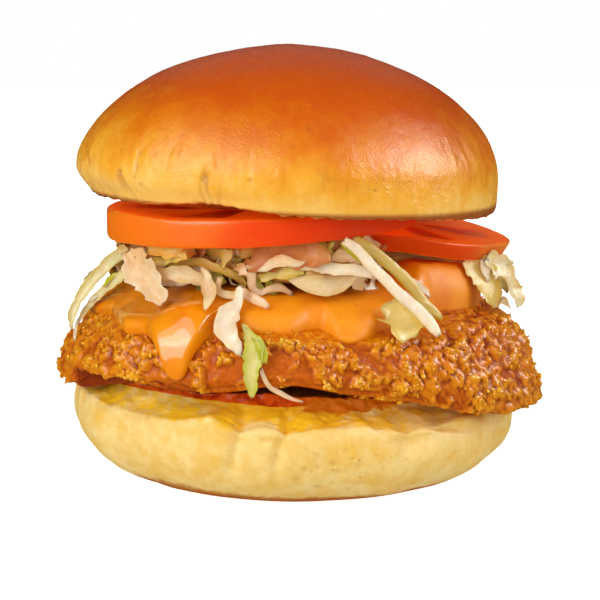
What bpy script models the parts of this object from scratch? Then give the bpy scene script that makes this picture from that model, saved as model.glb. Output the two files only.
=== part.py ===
"""Chicken burger: a fried fillet, sauce, shredded lettuce and two tomato slices in a soft glazed bun.

Metres, +Z up. The origin is on the table under the middle of the bun's heel, and the front is -Y.
Every layer lies on the one below it with a gap of GAP, and the stack leans a little towards +X.
"""

import functools
import math

import bmesh
import bpy
from mathutils import Vector
from mathutils.bvhtree import BVHTree

MM = 0.001
GAP = 0.35 * MM
MERGE = 0.01 * MM

# The stack
CUT_SLOPE = 0.040
TURN_STEPS = 48

# Heel, the lower half of the bun
HEEL_RADIUS = 54.4 * MM
HEEL_FOOT_RADIUS = 31.0 * MM
HEEL_WAIST = 15.8 * MM
HEEL_SHOULDER_RADIUS = 50.0 * MM
HEEL_RIM_RADIUS = 46.2 * MM
HEEL_CUT = 25.3 * MM
HEEL_LEDGE_DROP = 3.4 * MM
HEEL_CENTRE_X = -1.3 * MM

# Chicken fillet
FILLET_LENGTH = 122.4 * MM
FILLET_WIDTH = 110.0 * MM
FILLET_THICKNESS = 20.0 * MM
FILLET_COLUMNS = 60
FILLET_ROWS = 18
SAUCE_ROWS = 9
DRIP_ANGLE = -112.0

# Sauce
SAUCE_THICKNESS = 2.6 * MM
SAUCE_EDGE_SHARE = 0.45

# Lettuce
LETTUCE_RADIUS = 44.0 * MM
LETTUCE_ROWS = 12
LETTUCE_COLUMNS = 52
LETTUCE_LEAST = 1.6 * MM

# Which side of a piece another one touches, as the height a ray starts from
UPPER_SIDE = 1.0
LOWER_SIDE = -1.0
TOUCH_REACH = 5.0 * MM

# Tomato slices
FRONT_SLICE_RADIUS = 37.2 * MM
FRONT_SLICE_THICKNESS = 4.9 * MM
FRONT_SLICE_CENTRE = (-9.2 * MM, -9.5 * MM)
FRONT_SLICE_HEIGHT = 62.1 * MM
FRONT_SLICE_SLOPE = 0.030
SIDE_SLICE_RADIUS = 30.5 * MM
SIDE_SLICE_THICKNESS = 4.2 * MM
SIDE_SLICE_CENTRE = (21.5 * MM, 5.0 * MM)
SIDE_SLICE_BEND_X = 22.0 * MM
SIDE_SLICE_DROOP = 0.15

# Crown, the upper half of the bun
CROWN_RADIUS = 51.4 * MM
CROWN_CENTRE_X = -3.7 * MM
CROWN_TOP = 105.2 * MM
CROWN_WAIST = 76.4 * MM
CROWN_RIM = 67.8 * MM
CROWN_RIM_SLOPE = 0.042
CROWN_DOME_POWER = 1.8

COLOURS = {
    "bottom_bun": ((0.86, 0.62, 0.27), 0.62),
    "chicken_fillet": ((0.60, 0.24, 0.04), 0.45),
    "sauce": ((0.88, 0.37, 0.04), 0.22),
    "lettuce": ((0.80, 0.76, 0.48), 0.40),
    "tomato_slice_side": ((0.72, 0.10, 0.02), 0.25),
    "tomato_slice_front": ((0.85, 0.14, 0.02), 0.25),
    "top_bun": ((0.70, 0.27, 0.03), 0.30),
}


# ---------------------------------------------------------------- small helpers


def smoothstep(low, high, value):
    """0 below low, 1 above high, and a smooth rise between."""
    share = min(1.0, max(0.0, (value - low) / (high - low)))
    return share * share * (3.0 - 2.0 * share)


def bump(theta, centre_deg, width_deg):
    """A rounded hump of height 1 round the upright axis, centred on an angle in degrees."""
    apart = (math.degrees(theta) - centre_deg + 180.0) % 360.0 - 180.0
    return math.exp(-((apart / width_deg) ** 2))


def ripple(theta, terms):
    """A sum of cosines round the axis, each term (size, cycles, phase)."""
    return sum(size * math.cos(cycles * theta + phase) for size, cycles, phase in terms)


def signed_power(value, power):
    return math.copysign(abs(value) ** power, value)


def turned(name, profile, steps=TURN_STEPS):
    """Mesh of (radius, height) points turned about Z. Its first and last points are on the axis."""
    outline = bpy.data.meshes.new(name)
    points = [(radius, 0.0, height) for radius, height in profile]
    outline.from_pydata(points, [(i, i + 1) for i in range(len(points) - 1)], [])
    blank = bpy.data.objects.new(name + "_outline", outline)
    bpy.context.scene.collection.objects.link(blank)
    screw = blank.modifiers.new("Screw", "SCREW")
    screw.steps = steps
    screw.render_steps = steps
    screw.use_merge_vertices = True
    screw.merge_threshold = MERGE
    graph = bpy.context.evaluated_depsgraph_get()
    mesh = bpy.data.meshes.new_from_object(blank.evaluated_get(graph))
    bpy.data.objects.remove(blank)
    return mesh


def touching(trees, x, y, side, otherwise):
    """Height of the upper or lower side of some pieces near x, y, or a given height where there are none."""
    heights = []
    for step in range(17):
        angle = math.tau * step / 8.0
        reach = TOUCH_REACH * math.ceil(step / 8.0) / 2.0
        start = Vector((x + reach * math.cos(angle), y + reach * math.sin(angle), side))
        for tree in trees:
            place = tree.ray_cast(start, Vector((0.0, 0.0, -side)))[0]
            if place is not None:
                heights.append(place.z)
    if not heights:
        return otherwise
    return max(heights) if side == UPPER_SIDE else min(heights)


def tree_of(piece):
    return BVHTree.FromObject(piece, bpy.context.evaluated_depsgraph_get())


def ball(columns, rows):
    """A unit ball whose rows and columns the layers are shaped from."""
    shape = bmesh.new()
    bmesh.ops.create_uvsphere(shape, u_segments=columns, v_segments=rows, radius=1.0)
    return shape


def mesh_from(shape, name):
    """Mesh of a bmesh, with its faces pointing out."""
    bmesh.ops.recalc_face_normals(shape, faces=shape.faces)
    mesh = bpy.data.meshes.new(name)
    shape.to_mesh(mesh)
    shape.free()
    return mesh


def reshape(mesh, move):
    """Moves each point of a mesh to move(x, y, z)."""
    for vertex in mesh.vertices:
        vertex.co = move(*vertex.co)


def add_piece(collection, name, mesh):
    """Adds a smooth-shaded object with its own material."""
    colour, roughness = COLOURS[name]
    material = bpy.data.materials.new(name)
    material.use_nodes = True
    shader = material.node_tree.nodes["Principled BSDF"]
    shader.inputs["Base Color"].default_value = (*colour, 1.0)
    shader.inputs["Roughness"].default_value = roughness
    shader.inputs["Metallic"].default_value = 0.0
    mesh.materials.clear()
    mesh.materials.append(material)
    mesh.shade_smooth()
    mesh.set_sharp_from_angle(angle=math.radians(50))
    piece = bpy.data.objects.new(name, mesh)
    collection.objects.link(piece)
    return piece


# ---------------------------------------------------------------- where the layers lie


def cut_height(x):
    """Height of the heel's cut face."""
    return HEEL_CUT - CUT_SLOPE * x


def fillet_radius(theta):
    """The fillet's outline from above: an oval with uneven lobes."""
    half_length = FILLET_LENGTH / 2.0
    half_width = FILLET_WIDTH / 2.0
    oval = half_length * half_width / math.hypot(half_width * math.cos(theta), half_length * math.sin(theta))
    lobes = ripple(theta, ((0.9 * MM, 3, 0.4), (0.7 * MM, 5, 2.0), (0.5 * MM, 8, 1.1)))
    squared = 1.4 * MM * bump(theta, -128.0, 20.0) + 1.8 * MM * bump(theta, -42.0, 22.0)
    return oval + lobes * abs(math.sin(theta)) + squared


def fillet_bottom(x, y):
    """Underside of the fillet: it lies on the heel, droops past its rim and arches at the front."""
    reach = math.hypot(x, y)
    side = x / reach if reach else 0.0
    past = smoothstep(45.0 * MM, 58.0 * MM, reach)
    droop = 1.5 + 6.5 * smoothstep(0.70, 0.97, -side) + 6.6 * smoothstep(0.20, 0.90, side)
    arch = 3.6 * math.exp(-(((x + 3.0 * MM) / (11.0 * MM)) ** 2)) * smoothstep(30.0 * MM, 48.0 * MM, -y)
    return cut_height(x) + GAP + (arch - droop * past) * MM


def fillet_top(x, y):
    """Upper side of the fillet, a little domed and lumpy."""
    lumps = 0.5 * math.sin(x / (9.0 * MM) + 0.6) * math.cos(y / (11.0 * MM)) * MM
    reach = math.hypot(x / (FILLET_LENGTH / 2.0), y / (FILLET_WIDTH / 2.0))
    left = 1.4 * MM * smoothstep(-30.0 * MM, -56.0 * MM, x)
    return cut_height(x) + FILLET_THICKNESS + lumps - 1.6 * MM * reach**2 + 0.02 * x - left


def fillet_point(theta, polar):
    """A point of the fillet's skin; polar is 0 at the middle of its top and pi under its middle."""
    across = math.sin(polar) ** 0.5
    upright = signed_power(math.cos(polar), 0.55)
    shoulder = 3.0 * MM + 6.5 * MM * bump(theta, 0.0, 40.0) + 5.5 * MM * bump(theta, 180.0, 34.0)
    foot = 1.2 * MM * bump(theta, 0.0, 40.0) * math.exp(-(((polar / math.pi - 0.66) / 0.09) ** 2))
    notch = 1.8 * MM * bump(theta, -4.0, 14.0) * math.exp(-(((polar / math.pi - 0.54) / 0.05) ** 2))
    radius = across * (fillet_radius(theta) - shoulder * ((upright + 1.0) / 2.0) ** 2 * across)
    radius += foot - notch
    nodules = ripple(theta, ((0.6 * MM, 11, polar * 3.0), (0.4 * MM, 17, 1.7 - polar * 5.0)))
    radius += nodules * math.sin(polar) ** 2
    x = radius * math.cos(theta)
    y = radius * math.sin(theta)
    low = fillet_bottom(x, y)
    high = fillet_top(x, y)
    return x, y, (low + high) / 2.0 + upright * (high - low) / 2.0


def sauce_low(theta):
    """Height of the sauce's lower edge round the fillet, with its drips."""
    drips = 9.6 * bump(theta, -118.5, 5.5) + 3.0 * bump(theta, -136.0, 16.0) + 1.6 * bump(theta, -73.0, 6.0)
    drips += 6.0 * bump(theta, 62.0, 9.0) + 5.0 * bump(theta, 128.0, 11.0)
    rise = 2.6 * bump(theta, -28.0, 28.0) + 1.0 * bump(theta, 180.0, 20.0) + 0.8 * bump(theta, -95.0, 8.0)
    return (42.6 + rise - drips + 0.4 * math.cos(9.0 * theta)) * MM


@functools.cache
def sauce_edge(theta):
    """Polar angle of the fillet's skin at the sauce's lower edge, found by halving."""
    low = 0.27 * math.pi
    high = 0.80 * math.pi
    wanted = sauce_low(theta)
    for _ in range(24):
        middle = (low + high) / 2.0
        if fillet_point(theta, middle)[2] > wanted:
            low = middle
        else:
            high = middle
    return low


def sauce_depth(x, y):
    """Thickness of the sauce above the fillet, with a dollop at the front right."""
    dollop = math.exp(-(((x - 34.0 * MM) / (12.0 * MM)) ** 2) - (((y + 30.0 * MM) / (12.0 * MM)) ** 2))
    return SAUCE_THICKNESS + 4.6 * MM * dollop


def front_slice_bottom(x):
    """The front slice rises towards +X, where it lies on the side slice."""
    return FRONT_SLICE_HEIGHT + FRONT_SLICE_SLOPE * (x - FRONT_SLICE_CENTRE[0])


def side_slice_top(x):
    """The side slice lies flat under the front one and droops outside it."""
    past = x - SIDE_SLICE_BEND_X
    bend = 6.0 * MM
    drop = SIDE_SLICE_DROOP * 0.5 * (past + math.hypot(past, bend))
    return FRONT_SLICE_HEIGHT - GAP - drop


# ---------------------------------------------------------------- pieces


def heel_mesh():
    """The heel: a flat foot, a bulging side, a pressed ledge round the cut face and the cut face."""
    quarter = [math.pi / 2.0 * i / 7.0 for i in range(8)]
    profile = [(0.0, HEEL_CUT), (HEEL_RIM_RADIUS * 0.55, HEEL_CUT), (HEEL_RIM_RADIUS, HEEL_CUT)]
    profile.append((HEEL_RIM_RADIUS + 0.6 * MM, HEEL_CUT - 0.6 * HEEL_LEDGE_DROP))
    profile.append((HEEL_RIM_RADIUS + 2.0 * MM, HEEL_CUT - HEEL_LEDGE_DROP))
    shoulder = HEEL_CUT - HEEL_LEDGE_DROP + 0.4 * MM
    for angle in (0.15, 0.45, 0.8, 1.15):
        radius = HEEL_SHOULDER_RADIUS + (HEEL_RADIUS - HEEL_SHOULDER_RADIUS) * math.sin(angle)
        profile.append((radius, HEEL_WAIST + (shoulder - HEEL_WAIST) * math.cos(angle)))
    for angle in reversed(quarter):
        radius = HEEL_FOOT_RADIUS + (HEEL_RADIUS - HEEL_FOOT_RADIUS) * math.sin(angle)
        profile.append((radius, HEEL_WAIST * (1.0 - math.cos(angle))))
    profile.append((0.0, 0.0))
    mesh = turned("bottom_bun", profile)

    def knead(x, y, z):
        theta = math.atan2(y, x)
        radius = math.hypot(x, y)
        side = smoothstep(HEEL_FOOT_RADIUS, HEEL_RADIUS, radius)
        folds = ripple(theta, ((0.5 * MM, 3, 1.0), (0.35 * MM, 7, 0.2), (0.30 * MM, 13, 2.0)))
        radius += side * folds
        shift = HEEL_CENTRE_X * smoothstep(0.0, HEEL_WAIST, z)
        x = radius * math.cos(theta) + shift
        y = radius * math.sin(theta)
        return x, y, z - CUT_SLOPE * x * smoothstep(2.0 * MM, HEEL_CUT, z)

    reshape(mesh, knead)
    return mesh


def crowded(theta):
    """An angle moved so that the columns of a ball crowd towards the drip at the front left."""
    return theta - 0.42 * math.sin(theta - math.radians(DRIP_ANGLE))


def fillet_shape():
    """The fillet as a bmesh, one of whose rows follows the sauce's edge."""
    shape = ball(FILLET_COLUMNS, FILLET_ROWS)
    for vertex in shape.verts:
        theta = crowded(math.atan2(vertex.co.y, vertex.co.x))
        row = math.acos(max(-1.0, min(1.0, vertex.co.z))) / math.pi * FILLET_ROWS
        edge = sauce_edge(round(theta, 4))
        if row <= SAUCE_ROWS:
            polar = edge * row / SAUCE_ROWS
        else:
            polar = edge + (math.pi - edge) * (row - SAUCE_ROWS) / (FILLET_ROWS - SAUCE_ROWS)
        vertex.tag = row < SAUCE_ROWS + 0.5
        vertex.co = fillet_point(theta, polar)
    return shape


def fillet_mesh(below):
    """The fillet, kept clear of the heel below it."""
    shape = fillet_shape()
    for vertex in shape.verts:
        if not vertex.tag:
            x, y, z = vertex.co
            vertex.co.z = max(z, touching(below, x, y, UPPER_SIDE, 0.0) + GAP)
    return mesh_from(shape, "chicken_fillet")


def sauce_object(collection):
    """The sauce: the fillet's own skin above the sauce's edge, lifted by GAP and thickened."""
    shape = fillet_shape()
    bare = [vertex for vertex in shape.verts if not vertex.tag]
    bmesh.ops.delete(shape, geom=bare, context="VERTS")
    shape.normal_update()
    lifted = {vertex: vertex.co + vertex.normal * GAP for vertex in shape.verts}
    shares = []
    most = SAUCE_THICKNESS + 4.6 * MM
    for vertex in shape.verts:
        edge = SAUCE_EDGE_SHARE if vertex.is_boundary else 1.0
        shares.append(edge * sauce_depth(vertex.co.x, vertex.co.y) / most)
    for vertex, place in lifted.items():
        vertex.co = place
    mesh = bpy.data.meshes.new("sauce")
    shape.to_mesh(mesh)
    shape.free()
    piece = add_piece(collection, "sauce", mesh)
    group = piece.vertex_groups.new(name="depth")
    for index, share in enumerate(shares):
        group.add([index], share, "REPLACE")
    solidify = piece.modifiers.new("Solidify", "SOLIDIFY")
    solidify.thickness = most
    solidify.offset = 1.0
    solidify.vertex_group = "depth"
    return piece


def lettuce_mesh(below, above):
    """The heap of shreds as one solid out to its uneven outline, lying between the pieces round it."""
    shape = ball(LETTUCE_COLUMNS, LETTUCE_ROWS)
    for vertex in shape.verts:
        theta = math.atan2(vertex.co.y, vertex.co.x)
        polar = math.acos(max(-1.0, min(1.0, vertex.co.z)))
        vertex.co = lettuce_point(theta, polar, below, above)
    return mesh_from(shape, "lettuce")


def lettuce_point(theta, polar, below, above):
    """A point of the heap's surface; polar is 0 at the middle of its top and pi under its middle."""
    left = bump(theta, 176.0, 19.0)
    right = bump(theta, -4.0, 15.0)
    dollop = bump(theta, -42.0, 26.0)
    edge = LETTUCE_RADIUS + ripple(theta, ((1.6 * MM, 5, 0.3), (1.3 * MM, 9, 2.1), (1.0 * MM, 14, 0.9)))
    edge += 12.5 * MM * left + 9.5 * MM * right - 14.0 * MM * dollop
    share = math.sin(polar)
    radius = edge * share
    x = radius * math.cos(theta)
    y = radius * math.sin(theta)
    low = touching(below, x, y, UPPER_SIDE, 0.0) + 2.0 * GAP
    away = math.hypot(x - SIDE_SLICE_CENTRE[0], y - SIDE_SLICE_CENTRE[1]) - SIDE_SLICE_RADIUS
    side_bottom = side_slice_top(x) - SIDE_SLICE_THICKNESS
    step_down = (front_slice_bottom(x) - side_bottom) * smoothstep(15.0 * MM, 5.0 * MM, away)
    high = min(touching(above, x, y, LOWER_SIDE, 1.0), front_slice_bottom(x) - step_down) - 2.0 * GAP
    high -= 0.6 * MM * smoothstep(38.0 * MM, 46.0 * MM, radius)
    high -= 14.0 * MM * left * smoothstep(43.0 * MM, 57.0 * MM, radius)
    high -= 4.0 * MM * right * smoothstep(44.0 * MM, 54.0 * MM, radius)
    high = max(high, low + LETTUCE_LEAST * share)
    upright = math.copysign(math.sqrt(1.0 - min(1.0, share) ** 6), math.cos(polar))
    return x, y, (low + high) / 2.0 + upright * (high - low) / 2.0


def slice_profile(radius, thickness):
    """Half outline of a tomato slice whose skin bulges a little."""
    half = thickness / 2.0
    return (
        (0.0, half),
        (radius * 0.30, half),
        (radius * 0.60, half),
        (radius * 0.85, half),
        (radius - 0.9 * MM, half),
        (radius, half * 0.45),
        (radius, -half * 0.45),
        (radius - 1.1 * MM, -half),
        (radius * 0.85, -half),
        (radius * 0.60, -half),
        (radius * 0.30, -half),
        (0.0, -half),
    )


def front_slice_mesh():
    """The larger tomato slice, flat and tilted."""
    mesh = turned("tomato_slice_front", slice_profile(FRONT_SLICE_RADIUS, FRONT_SLICE_THICKNESS), 44)

    def place(x, y, z):
        theta = math.atan2(y, x)
        lobed = 1.0 + ripple(theta, ((0.008, 5, 0.7), (0.006, 3, 1.9)))
        x = FRONT_SLICE_CENTRE[0] + x * lobed
        y = FRONT_SLICE_CENTRE[1] + y * lobed
        return x, y, front_slice_bottom(x) + FRONT_SLICE_THICKNESS / 2.0 + z

    reshape(mesh, place)
    return mesh


def side_slice_mesh():
    """The smaller tomato slice under the front one, whose outer half droops."""
    mesh = turned("tomato_slice_side", slice_profile(SIDE_SLICE_RADIUS, SIDE_SLICE_THICKNESS), 40)

    def place(x, y, z):
        theta = math.atan2(y, x)
        lobed = 1.0 + ripple(theta, ((0.010, 4, 0.2), (0.008, 7, 1.0)))
        x = SIDE_SLICE_CENTRE[0] + x * lobed
        y = SIDE_SLICE_CENTRE[1] + y * lobed
        return x, y, side_slice_top(x) - SIDE_SLICE_THICKNESS / 2.0 + z

    reshape(mesh, place)
    return mesh


def crown_underside(x, y, below):
    """The crown's cut face: a leaning plane at its rim, and flat on the front slice further in."""
    rim = CROWN_RIM - CROWN_RIM_SLOPE * x
    reach = math.hypot(x - CROWN_CENTRE_X, y)
    if reach > CROWN_RADIUS - 2.0 * MM:
        return rim
    slice_top = front_slice_bottom(x) + FRONT_SLICE_THICKNESS + GAP
    inner = smoothstep(42.0 * MM, 27.0 * MM, reach)
    height = rim + (slice_top - rim) * inner
    return max(height, touching(below, x, y, UPPER_SIDE, 0.0) + GAP)


def crown_mesh(below):
    """The crown: a glazed dome with a tucked-in side, and a cut face pressed by the tomato."""
    profile = []
    for i in range(13):
        angle = math.pi / 2.0 * i / 12.0
        share = 2.0 / CROWN_DOME_POWER
        profile.append((
            CROWN_RADIUS * math.sin(angle) ** share,
            CROWN_WAIST + (CROWN_TOP - CROWN_WAIST) * math.cos(angle) ** share,
        ))
    steps_down = (0.25, 0.5, 0.72, 0.9, 1.0)
    for share in steps_down:
        profile.append((CROWN_RADIUS, CROWN_WAIST + (CROWN_RIM - CROWN_WAIST) * share))
    for share in (0.94, 0.86, 0.76, 0.66, 0.54, 0.40, 0.20, 0.0):
        profile.append((CROWN_RADIUS * share, CROWN_RIM))
    mesh = turned("top_bun", profile)

    def prove(x, y, z):
        theta = math.atan2(y, x)
        radius = math.hypot(x, y)
        low = smoothstep(CROWN_WAIST, CROWN_RIM, z)
        under = z < CROWN_RIM + MERGE
        tuck = (2.0 - 1.9 * math.cos(theta)) * MM * low**2
        folds = ripple(theta, ((0.45 * MM, 2, 1.3), (0.35 * MM, 5, 0.2), (0.25 * MM, 9, 1.0)))
        flank = 1.2 * MM * bump(theta, 180.0, 50.0) * math.exp(-(((z - 90.0 * MM) / (9.0 * MM)) ** 2))
        radius += (folds - tuck - flank) * (radius / CROWN_RADIUS) ** 2
        x = CROWN_CENTRE_X + radius * math.cos(theta)
        y = radius * math.sin(theta)
        if under:
            return x, y, crown_underside(x, y, below)
        fall = max(0.0, CROWN_TOP - z) / (CROWN_TOP - CROWN_RIM)
        return x, y, z - CROWN_RIM_SLOPE * x * fall**1.5

    reshape(mesh, prove)
    return mesh


def main():
    for left_over in list(bpy.data.objects):
        bpy.data.objects.remove(left_over)
    burger = bpy.data.collections.new("chicken_burger")
    bpy.context.scene.collection.children.link(burger)
    heel = add_piece(burger, "bottom_bun", heel_mesh())
    fillet = add_piece(burger, "chicken_fillet", fillet_mesh([tree_of(heel)]))
    sauce = sauce_object(burger)
    slices = [
        add_piece(burger, "tomato_slice_side", side_slice_mesh()),
        add_piece(burger, "tomato_slice_front", front_slice_mesh()),
    ]
    slice_trees = [tree_of(piece) for piece in slices]
    add_piece(burger, "lettuce", lettuce_mesh([tree_of(fillet), tree_of(sauce)], slice_trees))
    add_piece(burger, "top_bun", crown_mesh(slice_trees))


main()
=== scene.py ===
"""Looks of a fried chicken burger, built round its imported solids.

A glazed crown, two tomato slices, a heap of shredded lettuce, creamy sauce, a craggy fried fillet
and a soft heel. Lengths are in millimetres until a mesh is written in metres. +Z is up and the front
is -Y.
"""

import logging
import math
from collections.abc import Sequence
from dataclasses import dataclass, field, replace
from enum import Enum
from itertools import combinations, product

import bpy
import numpy as np
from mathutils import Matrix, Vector
from mathutils.bvhtree import BVHTree


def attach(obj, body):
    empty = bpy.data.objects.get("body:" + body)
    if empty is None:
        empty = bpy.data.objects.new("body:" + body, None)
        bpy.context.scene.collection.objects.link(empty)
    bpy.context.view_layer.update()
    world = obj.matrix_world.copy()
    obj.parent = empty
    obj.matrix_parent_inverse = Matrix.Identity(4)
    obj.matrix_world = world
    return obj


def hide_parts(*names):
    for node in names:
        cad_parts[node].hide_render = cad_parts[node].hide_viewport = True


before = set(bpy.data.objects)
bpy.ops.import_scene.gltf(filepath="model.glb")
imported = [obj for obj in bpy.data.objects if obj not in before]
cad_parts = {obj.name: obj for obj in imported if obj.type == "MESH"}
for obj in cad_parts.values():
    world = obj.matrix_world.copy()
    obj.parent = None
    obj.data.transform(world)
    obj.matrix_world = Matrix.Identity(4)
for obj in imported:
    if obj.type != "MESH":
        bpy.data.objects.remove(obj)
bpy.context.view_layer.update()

MM = 0.001
HASH_FACTORS = (374761393, 668265263, 2246822519)
HASH_SEED = 974634777
HASH_MIX = 2654435761
WHITE = (1.0, 1.0, 1.0, 1.0)
CUT_SLOPE = 0.040
CUT_HEIGHT = 25.3
GAP = 0.35
SLICE_LEVEL = 62.1

Array = np.ndarray
Colour = Sequence[float]
Knots = Sequence[tuple[float, float]]
Stops = Sequence[tuple[float, Colour]]
Triple = tuple[float, float, float]
log = logging.getLogger("burger")


# ---------------- numbers


def smoothstep(low: float, high: float, value: Array | float) -> Array:
    """Rises smoothly from 0 at low to 1 at high.

    Args:
        low: Value that gives 0.
        high: Value that gives 1.
        value: Number or array.

    Returns:
        The share, between 0 and 1.
    """
    share = np.clip((value - low) / (high - low), 0.0, 1.0)
    return share * share * (3.0 - 2.0 * share)


def bell(value: Array | float, centre: float, width: float) -> Array:
    """A rounded bell of height 1 at a centre, that wide to each side."""
    return np.exp(-(((value - centre) / width) ** 2))


def stacked(*parts: Array | float) -> Array:
    """Parts stretched to one shape and set side by side as vectors."""
    return np.stack(np.broadcast_arrays(*parts), axis=-1)


def eased(values: Array, axis: int, closed: bool = True) -> Array:
    """Averages values a little with their neighbours.

    Args:
        values: The values.
        axis: Which way the neighbours lie.
        closed: Whether the row closes on itself; an open row's ends stay.

    Returns:
        The averages.
    """
    softer = (np.roll(values, 1, axis=axis) + 2.0 * values + np.roll(values, -1, axis=axis)) / 4.0
    if not closed:
        np.moveaxis(softer, axis, 0)[[0, -1]] = np.moveaxis(values, axis, 0)[[0, -1]]
    return softer


def between_knots(theta: Array, knots: Knots) -> Array:
    """Values between knots round the upright axis, each an angle in degrees and its value."""
    return np.interp(np.degrees(theta), *np.array(knots).T, period=360.0)


def hump(theta: Array | float, centre: float, width: float) -> Array:
    """A rounded hump of height 1 round the upright axis.

    Args:
        theta: Angles in radians.
        centre: Angle of the hump's middle, in degrees.
        width: Its half width, in degrees.

    Returns:
        The hump's height at each angle.
    """
    apart = (np.degrees(theta) - centre + 180.0) % 360.0 - 180.0
    return bell(apart, 0.0, width)


def ripple(theta: Array | float, terms: Sequence[Triple]) -> Array:
    """Sums cosines round the upright axis.

    Args:
        theta: Angles in radians.
        terms: The (size, cycles, phase) of each cosine.

    Returns:
        Their sum at each angle.
    """
    return sum(size * np.cos(cycles * theta + phase) for size, cycles, phase in terms)


def blob(points: Array, centre: Triple, reach: Triple) -> Array:
    """A soft blob of height 1 in space.

    Args:
        points: Places, (..., 3).
        centre: Its middle.
        reach: Its half width along X, Y and Z.

    Returns:
        Its height at each place.
    """
    away = (points - np.array(centre)) / np.array(reach)
    return np.exp(-(away**2).sum(axis=-1))


def unit(vectors: Array) -> Array:
    """Vectors scaled to length 1."""
    return vectors / np.maximum(np.linalg.norm(vectors, axis=-1, keepdims=True), 1e-9)


@dataclass(frozen=True)
class Noise:
    """Smooth and cellular noise on arrays of places, the same on every run."""

    seed: int = 0

    def _scramble(self, cells: Array) -> Array:
        """Scrambles whole-number cells.

        Args:
            cells: The cells, (..., 3).

        Returns:
            A 32-bit number for each.
        """
        start = (self.seed * HASH_SEED + 12345) & 0xFFFFFFFF
        mixed = np.full(cells.shape[:-1], start, dtype=np.uint32)
        for axis, factor in enumerate(HASH_FACTORS):
            mixed = mixed ^ (cells[..., axis].astype(np.uint32) * np.uint32(factor))
            mixed = (mixed ^ (mixed >> np.uint32(15))) * np.uint32(HASH_MIX)
        return mixed ^ (mixed >> np.uint32(13))

    @staticmethod
    def _bytes(code: Array, shifts: Triple) -> Array:
        """Three numbers of 0 to 255 taken from each code, as vectors."""
        return np.stack([(code >> np.uint32(shift)) & np.uint32(255) for shift in shifts], axis=-1)

    def smooth(self, points: Array, size: float) -> Array:
        """Gradient noise.

        Args:
            points: Places, (..., 3).
            size: Size of one feature.

        Returns:
            Values of about -1 to 1.
        """
        scaled = points / size
        base = np.floor(scaled).astype(np.int64)
        part = scaled - base
        fade = part * part * part * (part * (part * 6.0 - 15.0) + 10.0)
        total = np.zeros(points.shape[:-1])
        for corner in product((0, 1), repeat=3):
            code = self._scramble(base + np.array(corner))
            slopes = self._bytes(code, (2, 11, 20))
            rise = ((part - corner) * (slopes / 127.5 - 1.0)).sum(axis=-1)
            weight = np.prod(np.where(corner, fade, 1.0 - fade), axis=-1)
            total += rise * weight
        return total * 1.15

    def layered(self, points: Array, size: float, layers: int = 3, gain: float = 0.5) -> Array:
        """Smooth noise with finer layers on it.

        Args:
            points: Places, (..., 3).
            size: Size of the largest feature.
            layers: How many layers, each half the size of the last.
            gain: How strong each layer is, as a share of the last.

        Returns:
            Values of about -1 to 1.
        """
        total = np.zeros(points.shape[:-1])
        weight = 1.0
        for layer in range(layers):
            total += weight * self.smooth(points + 17.3 * layer, size / 2**layer)
            weight *= gain
        return total

    def cells(self, points: Array, size: float) -> tuple[Array, Array, Array]:
        """Cellular noise.

        Args:
            points: Places, (..., 3).
            size: Size of one cell.

        Returns:
            The share of a cell to the nearest and the second nearest middle, and each cell's random share.
        """
        scaled = points / size
        base = np.floor(scaled).astype(np.int64)
        nearest = np.full(points.shape[:-1], 9.0)
        second = np.full(points.shape[:-1], 9.0)
        luck = np.zeros(points.shape[:-1])
        for offset in product((-1, 0, 1), repeat=3):
            cell = base + np.array(offset)
            code = self._scramble(cell)
            away = np.linalg.norm(cell + self._bytes(code, (1, 9, 17)) / 255.0 - scaled, axis=-1)
            closer = away < nearest
            second = np.where(closer, nearest, np.minimum(second, away))
            luck = np.where(closer, (code >> np.uint32(5)) % np.uint32(997) / 997.0, luck)
            nearest = np.where(closer, away, nearest)
        return nearest, second, luck

    def push(self, points: Array, size: float) -> Array:
        """A smooth noise vector at each place."""
        return np.stack([self.smooth(points + shift, size) for shift in (0.0, 31.7, 67.1)], axis=-1)


# ---------------- meshes


@dataclass
class Shell:
    """Points and faces of one piece, gathered from parts, with a value or colour for each point."""

    points: list[Array] = field(default_factory=list)
    faces: list[Array] = field(default_factory=list)
    values: dict[str, list[Array]] = field(default_factory=dict)
    count: int = 0

    def add(self, points: Array, faces: Sequence[Array], values: dict[str, Array]) -> None:
        """Adds a part.

        Args:
            points: Its places, (n, 3).
            faces: Arrays of corners, each with its own number of corners.
            values: A value (n) or colour (n, 4) for each place, by name.
        """
        self.points.append(points)
        self.faces.extend(part + self.count for part in faces)
        for name, value in values.items():
            self.values.setdefault(name, []).append(value)
        self.count += len(points)

    def build(self, name: str, material: bpy.types.Material) -> bpy.types.Object:
        """Writes the parts as one smooth object.

        Args:
            name: The piece's name.
            material: Its finish.

        Returns:
            The new object.
        """
        corners = np.concatenate([part.ravel() for part in self.faces]).astype(np.int32)
        sizes = np.concatenate([np.full(len(part), part.shape[1]) for part in self.faces])
        starts = np.concatenate([[0], np.cumsum(sizes)[:-1]]).astype(np.int32)
        mesh = bpy.data.meshes.new(name)
        mesh.vertices.add(self.count)
        mesh.vertices.foreach_set("co", (np.concatenate(self.points) * MM).astype(np.float32).ravel())
        mesh.loops.add(len(corners))
        mesh.loops.foreach_set("vertex_index", corners)
        mesh.polygons.add(len(sizes))
        mesh.polygons.foreach_set("loop_start", starts)
        mesh.update(calc_edges=True)
        for key, parts in self.values.items():
            value = np.concatenate(parts).astype(np.float32)
            kind, slot = ("FLOAT", "value") if value.ndim == 1 else ("FLOAT_COLOR", "color")
            mesh.attributes.new(key, kind, "POINT").data.foreach_set(slot, value.ravel())
        mesh.validate()
        mesh.shade_smooth()
        mesh.materials.append(material)
        piece = bpy.data.objects.new(name, mesh)
        bpy.context.scene.collection.objects.link(piece)
        return piece


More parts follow.
